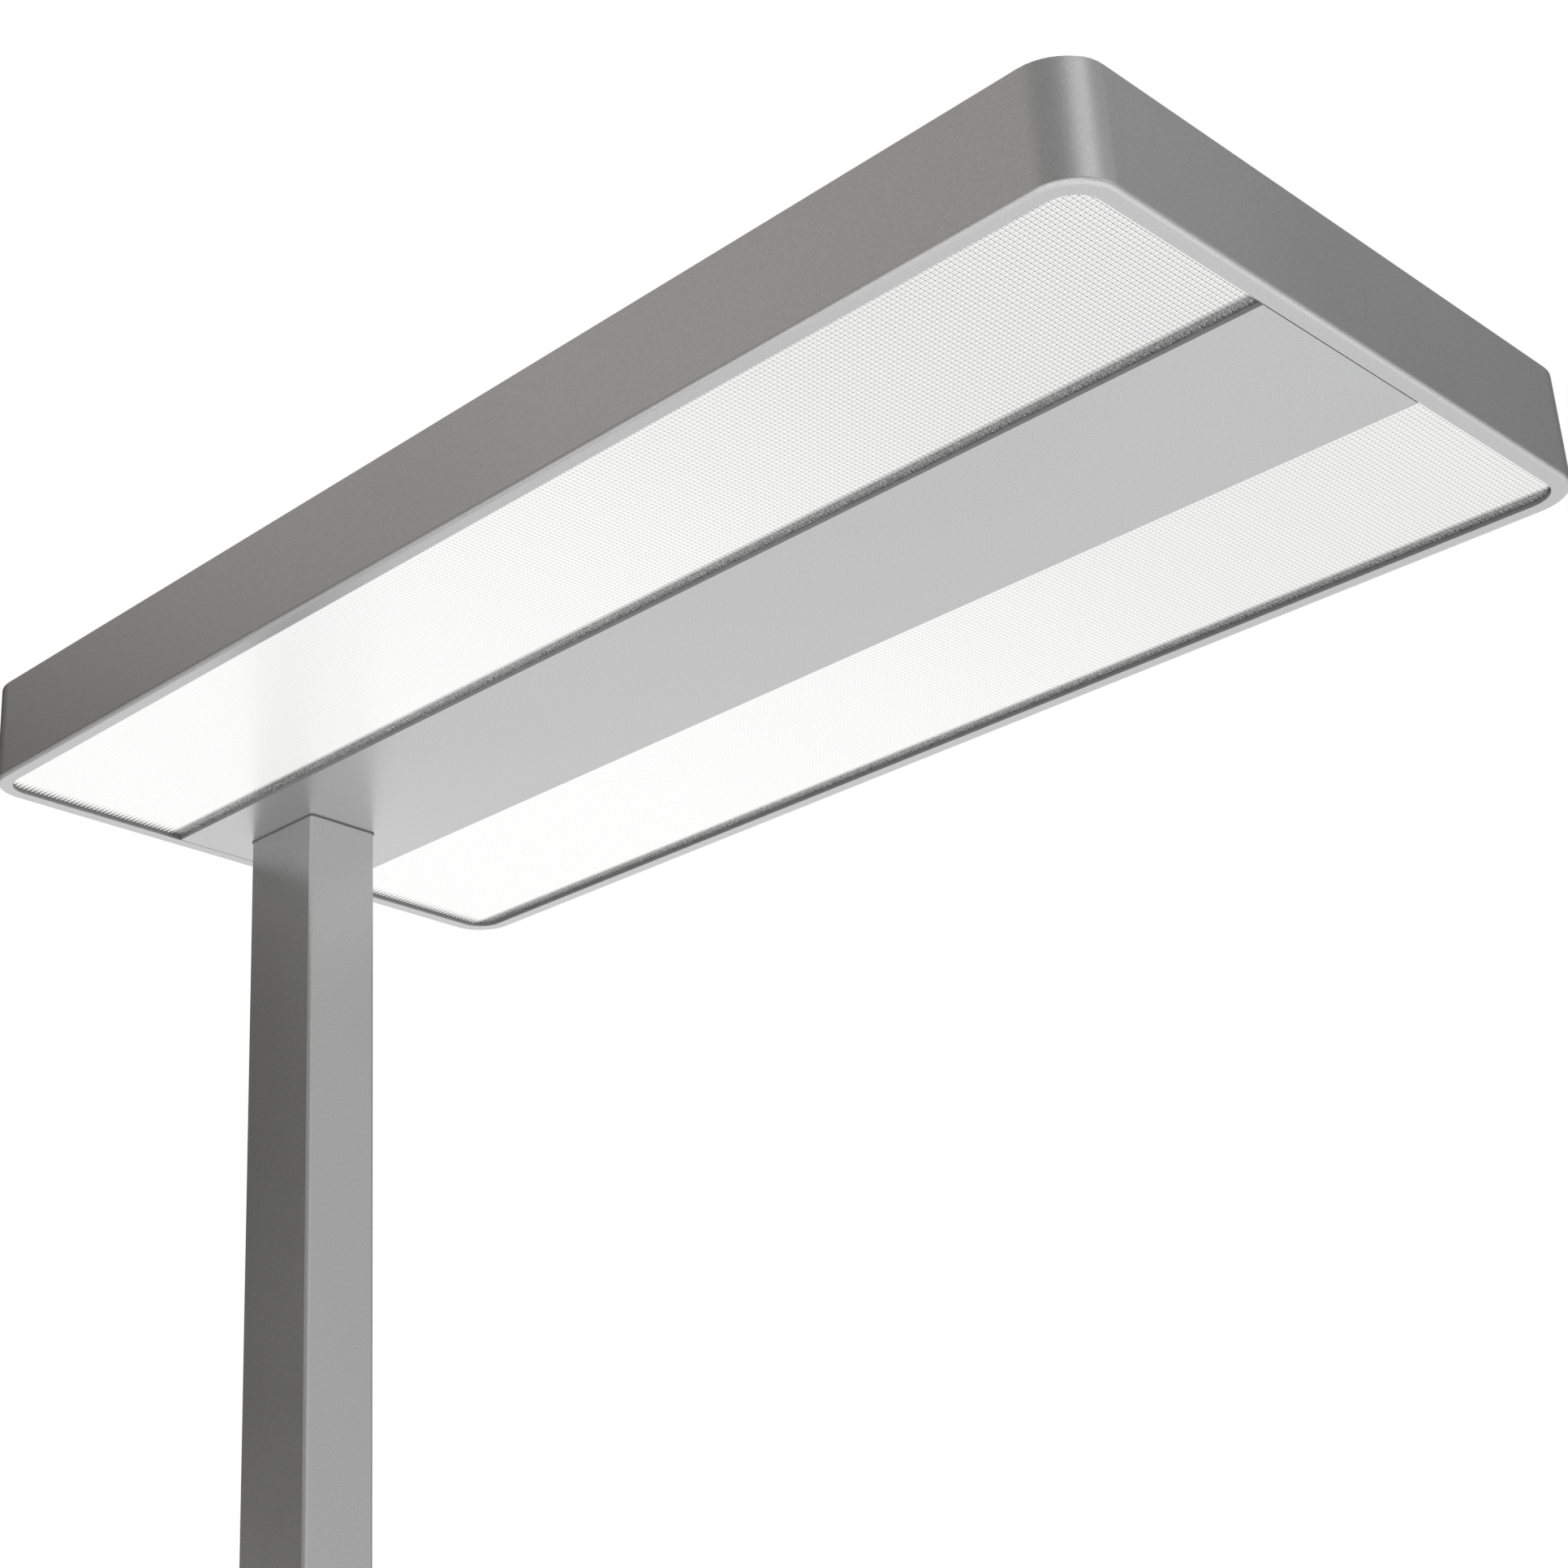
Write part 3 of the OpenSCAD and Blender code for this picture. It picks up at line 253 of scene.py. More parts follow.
# %% [markdown]
# ## Silver powder coat
# The head, its panel and cover, and the post wear a fine metallic powder coat: grey paint full of tiny
# aluminium flakes, baked on, so it mirrors the studio softly and has a very fine orange-peel texture.
# It could be plain grey plastic with a little gloss, but flakes darken and lighten with the light the way
# metal does. So the shader is nearly all metal, with flakes and peel of about half a millimetre in its
# colour and bump, and wide faint clouds in the roughness where hands and cloths have been.

# %% Mix the powder coat
SILVER = (0.730, 0.730, 0.732)
COAT_ROUGH = 0.34
COAT_METAL = 0.92
FLAKE_MM = 0.4
PEEL_MM = 0.5
PEEL_DEEP_MM = 0.020
CLOUD_MM = 90.0


def powder_coat(name, roughness=COAT_ROUGH, speckle=0.08):
    finish, tree, shader = start_finish(name, roughness, COAT_METAL)
    mottle(tree, grain(tree, FLAKE_MM, detail=3.0), SILVER, speckle, shader.inputs["Base Color"])
    uneven_shine(tree, shader, grain(tree, CLOUD_MM, detail=3.0), roughness - 0.03, roughness + 0.04)
    dimple(tree, shader, grain(tree, PEEL_MM, detail=4.0), PEEL_DEEP_MM)
    return finish


dress(powder_coat("silver_powder_coat"), "finished_top_cover", "finished_post")

# %% [markdown]
# ## Arithmetic on patterns
# Below the head the coat isn't the same everywhere, and a pattern can tell where it is: a point's height
# and its distance from the middle are numbers, too. An image could mark such places, but a few steps of
# arithmetic stay sharp from any distance. They are used for the lenses and for the studio as well.

# %% Reckon with patterns
def maths(tree, operation, first, second=0.0):
    """One step of arithmetic between patterns or numbers."""
    node = tree.nodes.new("ShaderNodeMath")
    node.operation = operation
    for socket, value in zip(node.inputs, (first, second)):
        if isinstance(value, (int, float)):
            socket.default_value = value
        else:
            tree.links.new(value, socket)
    return node.outputs["Value"]


def away_from(tree, value, middle):
    """How far a value is from the middle, on either side."""
    return maths(tree, "ABSOLUTE", maths(tree, "SUBTRACT", value, middle))


def product(tree, *values):
    result = values[0]
    for value in values[1:]:
        result = maths(tree, "MULTIPLY", result, value)
    return result


def smooth(tree, value, start, end):
    """0 before start, 1 after end, and smooth between. The end may come before the start."""
    node = tree.nodes.new("ShaderNodeMapRange")
    node.interpolation_type = "SMOOTHSTEP"
    flip = start > end
    node.inputs["From Min"].default_value = min(start, end)
    node.inputs["From Max"].default_value = max(start, end)
    node.inputs["To Min"].default_value = 1.0 if flip else 0.0
    node.inputs["To Max"].default_value = 0.0 if flip else 1.0
    tree.links.new(value, node.inputs["Value"])
    return node.outputs["Result"]


def split(tree, vector):
    """The three parts of a place or a direction."""
    node = tree.nodes.new("ShaderNodeSeparateXYZ")
    tree.links.new(vector, node.inputs["Vector"])
    return node.outputs["X"], node.outputs["Y"], node.outputs["Z"]


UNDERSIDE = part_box("centre_panel")[0].z
print("the underside of the head is at %.4f m" % UNDERSIDE)

# %% [markdown]
# ## The underside
# The cut edges of the openings face the lenses across a narrow gap and lie in its shade, so painted shade
# makes them dull and much darker than the faces around them. They could be faces with a finish of their
# own, but they belong to the same pieces, so a second coat reads the height above the underside and turns
# dull and dark there, as painted shade.

# %% Paint shade on the underside's cut edges
OPENING_HALF_X = 0.3178
OPENING_HALF_Y = 0.1558
BLEND = 0.0001
# heights above the underside where the painted shade on the cut edges begins and where it is full
SHADE_STARTS = UNDERSIDE + 0.00005
SHADE_ENDS = UNDERSIDE + 0.0006
SHADED_EDGE_METAL = 0.1
# colours of the painted shade on the cut edges of the rim and of the panel
RIM_EDGE_SHADE = (0.45, 0.45, 0.45)
PANEL_EDGE_SHADE = (0.66, 0.66, 0.66)


def shade_on_cut_edges(finish, colour):
    """Paints shade on a coat inside the openings of the underside: darker and dull on the cut edges in the
    gap.
    """
    tree = finish.node_tree
    shader = find_node(tree, "BSDF_PRINCIPLED")
    coat = shader.inputs["Base Color"].links[0].from_socket
    x, y, z = split(tree, place_on_object(tree))
    deep = smooth(tree, z, SHADE_STARTS, SHADE_ENDS)
    within_x = smooth(tree, maths(tree, "ABSOLUTE", x), OPENING_HALF_X, OPENING_HALF_X - BLEND)
    within_y = smooth(tree, maths(tree, "ABSOLUTE", y), OPENING_HALF_Y, OPENING_HALF_Y - BLEND)
    # painted shade: 1 on the cut edges in the gap, 0 on the faces around them
    edge = product(tree, deep, within_x, within_y)
    mix = two_tones(tree, edge, (0.0, 0.0, 0.0), colour, shader.inputs["Base Color"])
    tree.links.new(coat, mix.inputs["A"])
    tree.links.new(spread(tree, edge, COAT_METAL, SHADED_EDGE_METAL, 0.0, 1.0), shader.inputs["Metallic"])
    return finish


# the rim and the panel get painted shade on their cut edges
dress(shade_on_cut_edges(powder_coat("rim_powder_coat"), RIM_EDGE_SHADE), "finished_head_frame")
dress(shade_on_cut_edges(powder_coat("panel_powder_coat"), PANEL_EDGE_SHADE), "centre_panel")

# %% [markdown]
# ## The foot
# The foot is a steel plate in the same paint, but shoes and vacuum cleaners meet it, so it is a little
# rougher and a few long faint scuffs break its shine. The scuffs could be painted one by one. The same noise
# does it alone when it is stretched along one axis until it turns into streaks.

# %% Coat the foot
SCUFF_MM = 6.0
SCUFF_STRETCH = (0.12, 1.0, 1.0)

foot_coat = powder_coat("foot_powder_coat", 0.38, speckle=0.07)
foot_tree = foot_coat.node_tree
scuffs = spread(foot_tree, grain(foot_tree, SCUFF_MM, 5.0, SCUFF_STRETCH), 0.35, 0.52, 0.52, 0.72)
foot_tree.links.new(scuffs, find_node(foot_tree, "BSDF_PRINCIPLED").inputs["Roughness"])
dress(foot_coat, "finished_foot")

# %% [markdown]
# ## The prismatic lenses
# Each side of the head ends in a clear plastic sheet whose lower face is a field of tiny pyramids. They
# bend the glare of the diodes down and sideways, and from below they look like a bright fine mesh with a
# dark speck where four pyramids meet. A picture of a mesh on a flat sheet would look printed, so here the
# pyramids are real: a fine grid is laid over the opening and every cell is poked to a point, which gives
# four faces a pyramid, a shape simple enough to repeat thirteen thousand times.

# %% Measure a lens
PITCH_X = 0.00212
PITCH_Y = 0.00237
PRISM_DEEP = 0.0004
PRISM_TOP = 1.9020

# the field of pyramids: its half length, its two long sides and its outer corners
OPEN_X = 0.3172
OPEN_IN = 0.0503
OPEN_OUT = 0.1552
OPEN_R = 0.0122

CELLS_X = round(2 * OPEN_X / PITCH_X)
CELLS_Y = round((OPEN_OUT - OPEN_IN) / PITCH_Y)
print("pyramids on a lens:", CELLS_X, "x", CELLS_Y)

# %% [markdown]
# A round corner would leave whole cells standing out of the opening. They could be left out, as steps, but
# a knife is neater: eight straight cuts follow the rounding. Then the open edge is drawn up into the plate
# and closed, so that the field is a solid slab.

# %% Lay the pyramids
CORNER_CUTS = 8
INTO_PLATE = 0.0004
PLATE_LOW = 1.9035


def pyramid_field(side):
    """A closed slab whose lower face is pyramids, cut to the opening on the side of +y or -y."""
    field = bmesh.new()
    bmesh.ops.create_grid(field, x_segments=CELLS_X, y_segments=CELLS_Y, size=0.5)
    bmesh.ops.scale(field, vec=(2 * OPEN_X, OPEN_OUT - OPEN_IN, 1.0), verts=field.verts)
    middle = side * (OPEN_IN + OPEN_OUT) / 2
    bmesh.ops.translate(field, vec=(0.0, middle, PRISM_TOP), verts=field.verts)
    bmesh.ops.poke(field, faces=field.faces[:], offset=-PRISM_DEEP, center_mode="MEAN")
    for end in (-1, 1):
        hub = Vector((end * (OPEN_X - OPEN_R), side * (OPEN_OUT - OPEN_R), 0.0))
        for step in range(CORNER_CUTS):
            angle = math.radians(90.0 * (step + 0.5) / CORNER_CUTS)
            out = Vector((end * math.cos(angle), side * math.sin(angle), 0.0))
            everything = field.verts[:] + field.edges[:] + field.faces[:]
            bmesh.ops.bisect_plane(field, geom=everything, dist=1e-7, plane_co=hub + out * OPEN_R,
                                   plane_no=out, clear_outer=True)
    rim = [e for e in field.edges if e.is_boundary]
    skirt = bmesh.ops.extrude_edge_only(field, edges=rim)["geom"]
    for v in (g for g in skirt if isinstance(g, bmesh.types.BMVert)):
        v.co.z = PLATE_LOW + INTO_PLATE
    bmesh.ops.holes_fill(field, edges=[e for e in field.edges if e.is_boundary], sides=0)
    bmesh.ops.remove_doubles(field, verts=field.verts, dist=1e-6)
    bmesh.ops.recalc_face_normals(field, faces=field.faces)
    return field


fields = {side: pyramid_field(side) for side in (-1, 1)}
print("faces in a field:", len(fields[1].faces))

# %% [markdown]
# Above the pyramids the sheet is a plain plate that rests on the rim. It is a block with its two outer
# corners rounded to follow the head. Field and plate could be two pieces, but they go into one mesh,
# because they are one moulding.

# %% Make the two lenses
PLATE_HIGH = 1.9065
PLATE_X = 0.3221
PLATE_IN = 0.0466
PLATE_OUT = 0.1601
PLATE_R = 0.0171


def rounded_plate(side):
    """The plate over the opening: a block with its two outer corners rounded."""
    plate = bmesh.new()
    bmesh.ops.create_cube(plate, size=1.0)
    size = (2 * PLATE_X, PLATE_OUT - PLATE_IN, PLATE_HIGH - PLATE_LOW)
    bmesh.ops.scale(plate, vec=size, verts=plate.verts)
    middle = (0.0, side * (PLATE_IN + PLATE_OUT) / 2, (PLATE_LOW + PLATE_HIGH) / 2)
    bmesh.ops.translate(plate, vec=middle, verts=plate.verts)
    upright = [e for e in plate.edges if abs(e.verts[0].co.z - e.verts[1].co.z) > 0.001]
    corners = [e for e in upright if side * e.verts[0].co.y > 0.1]
    bmesh.ops.bevel(plate, geom=corners, offset=PLATE_R, offset_type="OFFSET", segments=10,
                    profile=0.5, affect="EDGES", material=-1)
    return plate


def make_piece(name, *parts):
    """Joins meshes in the making into one object at the origin."""
    whole = bmesh.new()
    for part in parts:
        passing = bpy.data.meshes.new("passing")
        part.to_mesh(passing)
        part.free()
        whole.from_mesh(passing)
        bpy.data.meshes.remove(passing)
    mesh = bpy.data.meshes.new(name)
    whole.to_mesh(mesh)
    whole.free()
    piece = bpy.data.objects.new(name, mesh)
    scene.collection.objects.link(piece)
    print(name, "has", sum(len(p.vertices) - 2 for p in mesh.polygons), "triangles")
    return piece


for side, node in ((-1, "lens_near"), (1, "lens_far")):
    piece = make_piece("prisms_" + node, fields[side], rounded_plate(side))
    piece.data.polygons.foreach_set("use_smooth", [True] * len(piece.data.polygons))
    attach(piece, "lamp")
    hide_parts(node)

# %% [markdown]
# ## Light in the lens
# A lit prism sheet could be made as glass over a lamp, but the tiny facets would take a very long time to
# render without noise. It is white from edge to edge in any case, because the opal sheet above it spreads
# the light, so here the plastic itself glows. What the eye reads as a mesh is painted into the glow by
# place: each facet has its own brightness by the way it faces, the valleys and ridges across the lens are
# dim lines, and a dark speck sits where pyramids meet. All this is stronger towards the front end.

# %% Work out the mesh of light
# how far each feature dims the glow: 0 leaves it alone and 1 makes it black
DIM_BACKS = 0.24
DIM_SIDES = 0.16
DIM_VALLEYS = 0.46
DIM_RIDGES = 0.46
DIM_SPECKS = 0.80

# the strength of the mesh at the post's end, and what the front end adds
MESH_LEAST = 0.14
MESH_MORE = 0.86


def dimmed(tree, pattern, least, *more):
    """1 where the pattern is 0, and darker by least (times any further patterns) where it is 1."""
    return maths(tree, "SUBTRACT", 1.0, product(tree, pattern, least, *more))


def cell_share(tree, coordinate, start, pitch):
    """How far across its cell a point is, from 0 to 1."""
    along = maths(tree, "DIVIDE", maths(tree, "SUBTRACT", coordinate, start), pitch)
    return maths(tree, "FRACT", along)


def from_middle(tree, share):
    """0 in the middle of a cell and 1 at its edges."""
    return away_from(tree, maths(tree, "MULTIPLY", share, 2.0), 1.0)


def mesh_of_light(tree, x, edge_x, edge_y, facet, contrast):
    """How bright a point glows by its place on its pyramid. The edge values are 1 where cells meet."""
    facing_x, facing_y, _ = split(tree, facet)
    forward = smooth(tree, x, -0.20, 0.317)
    gain = maths(tree, "ADD", product(tree, forward, MESH_MORE * contrast), MESH_LEAST * contrast)
    front = product(tree, smooth(tree, x, 0.02, 0.24), contrast)
    backs = dimmed(tree, smooth(tree, facing_x, -0.12, -0.32), DIM_BACKS, gain)
    sides = dimmed(tree, smooth(tree, facing_y, 0.12, 0.30), DIM_SIDES, gain)
    valleys = dimmed(tree, smooth(tree, edge_x, 0.66, 0.96), DIM_VALLEYS, gain)
    off_ridge = smooth(tree, edge_y, 0.05, 0.60)
    ridges = dimmed(tree, smooth(tree, edge_x, 0.34, 0.04), DIM_RIDGES, front, off_ridge)
    dots = product(tree, smooth(tree, edge_x, 0.50, 0.92), smooth(tree, edge_y, 0.55, 0.95))
    specks = dimmed(tree, dots, DIM_SPECKS, gain)
    return product(tree, backs, sides, valleys, ridges, specks)


print("the mesh is %.0f times as strong in front" % ((MESH_LEAST + MESH_MORE) / MESH_LEAST))

# %% [markdown]
# The glow isn't even from edge to edge. At one long edge the flange of the tray cuts the light off and
# leaves three dim rows full of glints, at the post's end the shade is ragged like teeth, and the far ends
# fall off a little. A gloss over it all picks up the floor and the post. The sheet sends little light out
# sideways, which is what its prisms are for. Real prisms would do that by themselves, and a glowing sheet
# has to be told, so mirrors see it dimmed.

# %% Light the lenses
DIM_GLINTS = 0.50
DIM_ROWS = 0.96
DIM_TEETH = 0.80
DIM_FALL = 0.07
DIM_MIRRORED = 0.5
ROWS_WIDE = 0.0082
ROWS_DARK = 0.0046
GLINT_MM = 0.28
TOOTH_LONG = 0.0075
GLOW = 0.88
GLOW_WHITE = (1.0, 1.0, 0.995)


def lens_light(name, dim_edge, contrast):
    """Glowing prism plastic. dim_edge tells how far its dim rows are from the middle of the head."""
    finish, tree, shader = start_finish(name, 0.22, 0.0, 1.52)
    x, y, _ = split(tree, place_on_object(tree))
    across = maths(tree, "ABSOLUTE", y)
    edge_x = from_middle(tree, cell_share(tree, x, -OPEN_X, 2 * OPEN_X / CELLS_X))
    edge_y = from_middle(tree, cell_share(tree, across, OPEN_IN, (OPEN_OUT - OPEN_IN) / CELLS_Y))
    facet = tree.nodes.new("ShaderNodeNewGeometry").outputs["True Normal"]
    mesh = mesh_of_light(tree, x, edge_x, edge_y, facet, contrast)
    glints = spread(tree, grain(tree, GLINT_MM, detail=1.0), 0.0, 1.0, 0.46, 0.70)
    near_edge = smooth(tree, away_from(tree, across, dim_edge), ROWS_WIDE, ROWS_DARK)
    rows = dimmed(tree, product(tree, near_edge, dimmed(tree, glints, DIM_GLINTS)), DIM_ROWS)
    from_end = maths(tree, "ADD", x, OPEN_X)
    tooth = maths(tree, "SUBTRACT", product(tree, edge_y, TOOTH_LONG), from_end)
    teeth = dimmed(tree, smooth(tree, tooth, -0.0030, 0.0040), DIM_TEETH)
    fall = dimmed(tree, smooth(tree, x, -0.05, 0.36), DIM_FALL)
    mirrored = tree.nodes.new("ShaderNodeLightPath").outputs["Is Glossy Ray"]
    glow = product(tree, mesh, rows, teeth, fall, dimmed(tree, mirrored, DIM_MIRRORED))
    # the painted light and shade of the prism mesh sets the glow and darkens the base colour with it
    two_tones(tree, glow, (0.0, 0.0, 0.0), GLOW_WHITE, shader.inputs["Emission Color"])
    two_tones(tree, glow, (0.03, 0.03, 0.03), (0.30, 0.30, 0.30), shader.inputs["Base Color"])
    shader.inputs["Emission Strength"].default_value = GLOW
    tree.links.new(facet, shader.inputs["Normal"])
    shader.inputs["Coat Weight"].default_value = 1.0
    shader.inputs["Coat Roughness"].default_value = 0.26
    shader.inputs["Coat IOR"].default_value = 2.0
    return finish


dress(lens_light("lit_prisms_near", OPEN_IN, 1.0), "prisms_lens_near")
dress(lens_light("lit_prisms_far", OPEN_OUT, 0.75), "prisms_lens_far")

# %% [markdown]
# ## Panes and opal sheets
# On top of the head two clear panes let the uplight out, and inside it an opal sheet lies over each lens.
# Opal plastic is milky all through. It could be made with light scattering inside it, which is slow, and
# a soft white glow with faint flow marks from the extruder looks the same on a sheet two millimetres thick.
# The panes have fine ribs across, and the opal sheets are plain.

# %% Cast the panes and opal sheets
FLOW_MM = 14.0
FLOW_STRETCH = (0.08, 1.0, 1.0)
RIB_DEEP_MM = 0.25


def lit_sheet(name, colour, bright, roughness, ribs_mm):
    finish, tree, shader = start_finish(name, roughness)
    flow = grain(tree, FLOW_MM, 3.0, FLOW_STRETCH)
    mottle(tree, flow, colour, 0.04, shader.inputs["Base Color"])
    mottle(tree, flow, colour, 0.04, shader.inputs["Emission Color"])
    shader.inputs["Emission Strength"].default_value = bright
    if ribs_mm:
        x, _, _ = split(tree, place_on_object(tree))
        ribs = from_middle(tree, cell_share(tree, x, -1.0, ribs_mm / 1000.0))
        dimple(tree, shader, smooth(tree, ribs, 0.1, 1.0), RIB_DEEP_MM)
    else:
        dimple(tree, shader, grain(tree, 0.6), 0.01)
    return finish


dress(lit_sheet("uplight_pane", (0.93, 0.94, 0.94), 0.80, 0.16, 4.0),
      "uplight_window_near", "uplight_window_far")
dress(lit_sheet("opal_sheet", (0.94, 0.94, 0.93), 0.90, 0.45, 0.0), "diffuser_near", "diffuser_far")

# %% [markdown]
# ## The white insides
# The trays behind the lenses are folded from white coated sheet, and the diode boards are bare aluminium
# under a white mask. Both are matt and slightly uneven. A plain white would do for what is mostly hidden,
# but one recipe with a fine grain serves them all. The diodes are small blocks of yellow resin, because
# their blue light turns white in it.

# %% Finish trays, boards and diodes
def matt_white(name, colour, grain_mm, depth_mm, roughness=0.5):
    finish, tree, shader = start_finish(name, roughness)
    fine = grain(tree, grain_mm, detail=3.0)
    mottle(tree, fine, colour, 0.03, shader.inputs["Base Color"])
    uneven_shine(tree, shader, grain(tree, grain_mm * 60.0), roughness - 0.06, roughness + 0.08)
    dimple(tree, shader, fine, depth_mm)
    return finish


dress(matt_white("tray_enamel", (0.86, 0.86, 0.85), 0.8, 0.010), "reflector_near", "reflector_far")
dress(matt_white("board_mask", (0.83, 0.84, 0.82), 0.4, 0.006, 0.42),
      "led_board_near", "led_board_far", "uplight_board_near", "uplight_board_far")
dress(matt_white("driver_case", (0.80, 0.80, 0.79), 1.1, 0.030, 0.48), "driver_downlight", "driver_uplight")
dress(matt_white("diode_resin", (0.86, 0.72, 0.22), 0.3, 0.008, 0.30), "downlight_leds", "uplight_leds")

# %% [markdown]
# ## Bare metal inside
# The spine and the small screws are zinc plated: a cool bright skin with a faint crystal bloom. The bracket
# that holds the head on the post is a casting, so it is dull and grainy, and the large bolts are dark steel
# out of an oil bath. Each could have a shader of its own, but one recipe serves them all, with its own
# colour, gloss and grain for each.

# %% Plate, cast and blacken the metal
def bare_metal(name, colour, roughness, grain_mm, depth_mm, bloom_mm=12.0, bloom=0.10):
    finish, tree, shader = start_finish(name, roughness, metallic=1.0)
    mottle(tree, grain(tree, bloom_mm, detail=4.0), colour, bloom, shader.inputs["Base Color"])
    worn = grain(tree, bloom_mm * 0.4, detail=5.0)
    uneven_shine(tree, shader, worn, roughness - 0.05, roughness + 0.10)
    dimple(tree, shader, grain(tree, grain_mm, detail=3.0), depth_mm)
    return finish


dress(bare_metal("zinc_plate", (0.66, 0.68, 0.70), 0.30, 0.5, 0.004),
      "spine", "driver_screws", "bracket_screws", "spine_screws", "panel_screws", "tray_screws",
      "cover_screws")
dress(bare_metal("cast_metal", (0.42, 0.42, 0.43), 0.52, 0.7, 0.060, 6.0), "head_bracket")
dress(bare_metal("oiled_steel", (0.10, 0.10, 0.105), 0.36, 0.3, 0.006, 5.0, 0.25),
      "bracket_bolts", "base_bolts")
dress(bare_metal("tinned_brass", (0.72, 0.70, 0.62), 0.24, 0.3, 0.003, 4.0), "inlet_pins")

# %% [markdown]
# ## Rubber, plastic and wire
# The foot's pads are black rubber and the gaskets grey, matt with a dusty bloom. The control and the mains
# inlet are moulded plastic with a fine spark-eroded texture, and wires have a smoother skin. Each could be
# copied from a library of materials, but they all share one base, a plain plastic, and differ only in
# colour, gloss and the size of the texture.

# %% Mould the plastics
def moulded(name, colour, roughness, texture_mm, depth_mm, tone=0.05):
    finish, tree, shader = start_finish(name, roughness, ior=1.49)
    bloom = grain(tree, texture_mm * 25.0, detail=2.0)
    mottle(tree, bloom, colour, tone, shader.inputs["Base Color"])
    uneven_shine(tree, shader, bloom, roughness - 0.04, roughness + 0.06)
    dimple(tree, shader, grain(tree, texture_mm, detail=3.0), depth_mm)
    return finish


dress(moulded("black_rubber", (0.022, 0.022, 0.023), 0.72, 0.8, 0.030, 0.20), "base_pads")
dress(moulded("grey_rubber", (0.24, 0.24, 0.24), 0.62, 0.8, 0.030, 0.12), "post_gasket", "foot_gasket")
dress(moulded("black_plastic", (0.020, 0.020, 0.021), 0.42, 0.5, 0.012, 0.10),
      "push_switches", "mains_inlet")
dress(moulded("dark_bezel_plastic", (0.055, 0.056, 0.060), 0.38, 0.5, 0.014, 0.08), "control_bezel")
dress(moulded("button_plastic", (0.36, 0.37, 0.38), 0.40, 0.45, 0.010, 0.04),
      "power_button", "brighter_button", "dimmer_button")
dress(moulded("terminal_plastic", (0.05, 0.26, 0.13), 0.40, 0.6, 0.014), "terminal_block")
dress(moulded("circuit_board", (0.030, 0.17, 0.075), 0.30, 0.9, 0.012, 0.18), "control_board")
dress(moulded("black_wire_skin", (0.025, 0.025, 0.026), 0.34, 1.6, 0.010, 0.10),
      "supply_leads", "mains_lead")
dress(moulded("white_wire_skin", (0.72, 0.72, 0.70), 0.34, 1.6, 0.010), "control_lead")
dress(moulded("red_wire_skin", (0.50, 0.035, 0.03), 0.34, 1.6, 0.010), "led_leads")

# %% [markdown]
# ## Marks on the three buttons
# The buttons need a sign each so that a hand can tell them apart: a broken ring with a stroke for power,
# a plus for brighter and a minus for dimmer, as on most devices. They could be an image, but as thin pads
# of paint they stay sharp in any view. The strokes are flat strips with their corners bevelled round, and
# the ring is a small flat profile spun round the button's axis.

# %% Shape a stroke and a ring
PAINT = 0.00006
STROKE = 0.0007


def stroke(length, width, upright):
    """A thin strip of paint on a button face at the origin, upright or lying."""
    strip = bmesh.new()
    bmesh.ops.create_cube(strip, size=1.0)
    size = (2 * PAINT, width, length) if upright else (2 * PAINT, length, width)
    bmesh.ops.scale(strip, vec=size, verts=strip.verts)
    rounded = [e for e in strip.edges if abs(e.verts[0].co.x - e.verts[1].co.x) > PAINT]
    bmesh.ops.bevel(strip, geom=rounded, offset=width * 0.35, offset_type="OFFSET", segments=4,
                    profile=0.5, affect="EDGES", material=-1)
    return strip


def broken_ring(radius, width, gap_degrees):
    """A ring of paint with a gap at its top, spun from a flat profile."""
    ring = bmesh.new()
    bmesh.ops.create_grid(ring, x_segments=1, y_segments=1, size=0.5)
    bmesh.ops.scale(ring, vec=(2 * PAINT, width, 1.0), verts=ring.verts)
    start = Matrix.Rotation(math.radians(gap_degrees / 2), 3, "X")
    for v in ring.verts:
        v.co = start @ Vector((v.co.x, 0.0, radius + v.co.y))
    swept = math.radians(360.0 - gap_degrees)
    bmesh.ops.spin(ring, geom=ring.verts[:] + ring.edges[:] + ring.faces[:], cent=(0.0, 0.0, 0.0),
                   axis=(1.0, 0.0, 0.0), angle=swept, steps=40, use_merge=False)
    bmesh.ops.recalc_face_normals(ring, faces=ring.faces)
    return ring


print("the paint stands %.2f mm out of a button" % (PAINT * 1000.0))

# %% [markdown]
# A mark is put in the middle of its button's face, half of it in the plastic. It could ride on the lamp
# like the other new pieces, but it has to go in when its button is pressed, so it rides on the button.

# %% Paint the marks
BUTTON_FACE_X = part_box("power_button")[1].x
SIGN_LONG = 0.0046
LYING_PAINT = 0.8  # the plus sign's lying stroke is thinner, so that the two faces don't share a plane


def put_on_button(name, button, *parts):
    low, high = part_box(button)
    centre = Vector((BUTTON_FACE_X, (low.y + high.y) / 2, (low.z + high.z) / 2))
    for part in parts:
        bmesh.ops.translate(part, vec=centre, verts=part.verts)
    piece = make_piece(name, *parts)
    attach(piece, button)


power_bar = stroke(0.0024, STROKE, True)
bmesh.ops.translate(power_bar, vec=(0.0, 0.0, 0.0016), verts=power_bar.verts)
put_on_button("power_mark", "power_button", broken_ring(0.0022, STROKE, 70.0), power_bar)
cross_piece = stroke(SIGN_LONG, STROKE, False)
bmesh.ops.scale(cross_piece, vec=(LYING_PAINT, 1.0, 1.0), verts=cross_piece.verts)
put_on_button("brighter_mark", "brighter_button", stroke(SIGN_LONG, STROKE, True), cross_piece)
put_on_button("dimmer_mark", "dimmer_button", stroke(SIGN_LONG, STROKE, False))
dress(matt_white("mark_paint", (0.86, 0.86, 0.85), 0.2, 0.002, 0.55),
      "power_mark", "brighter_mark", "dimmer_mark")

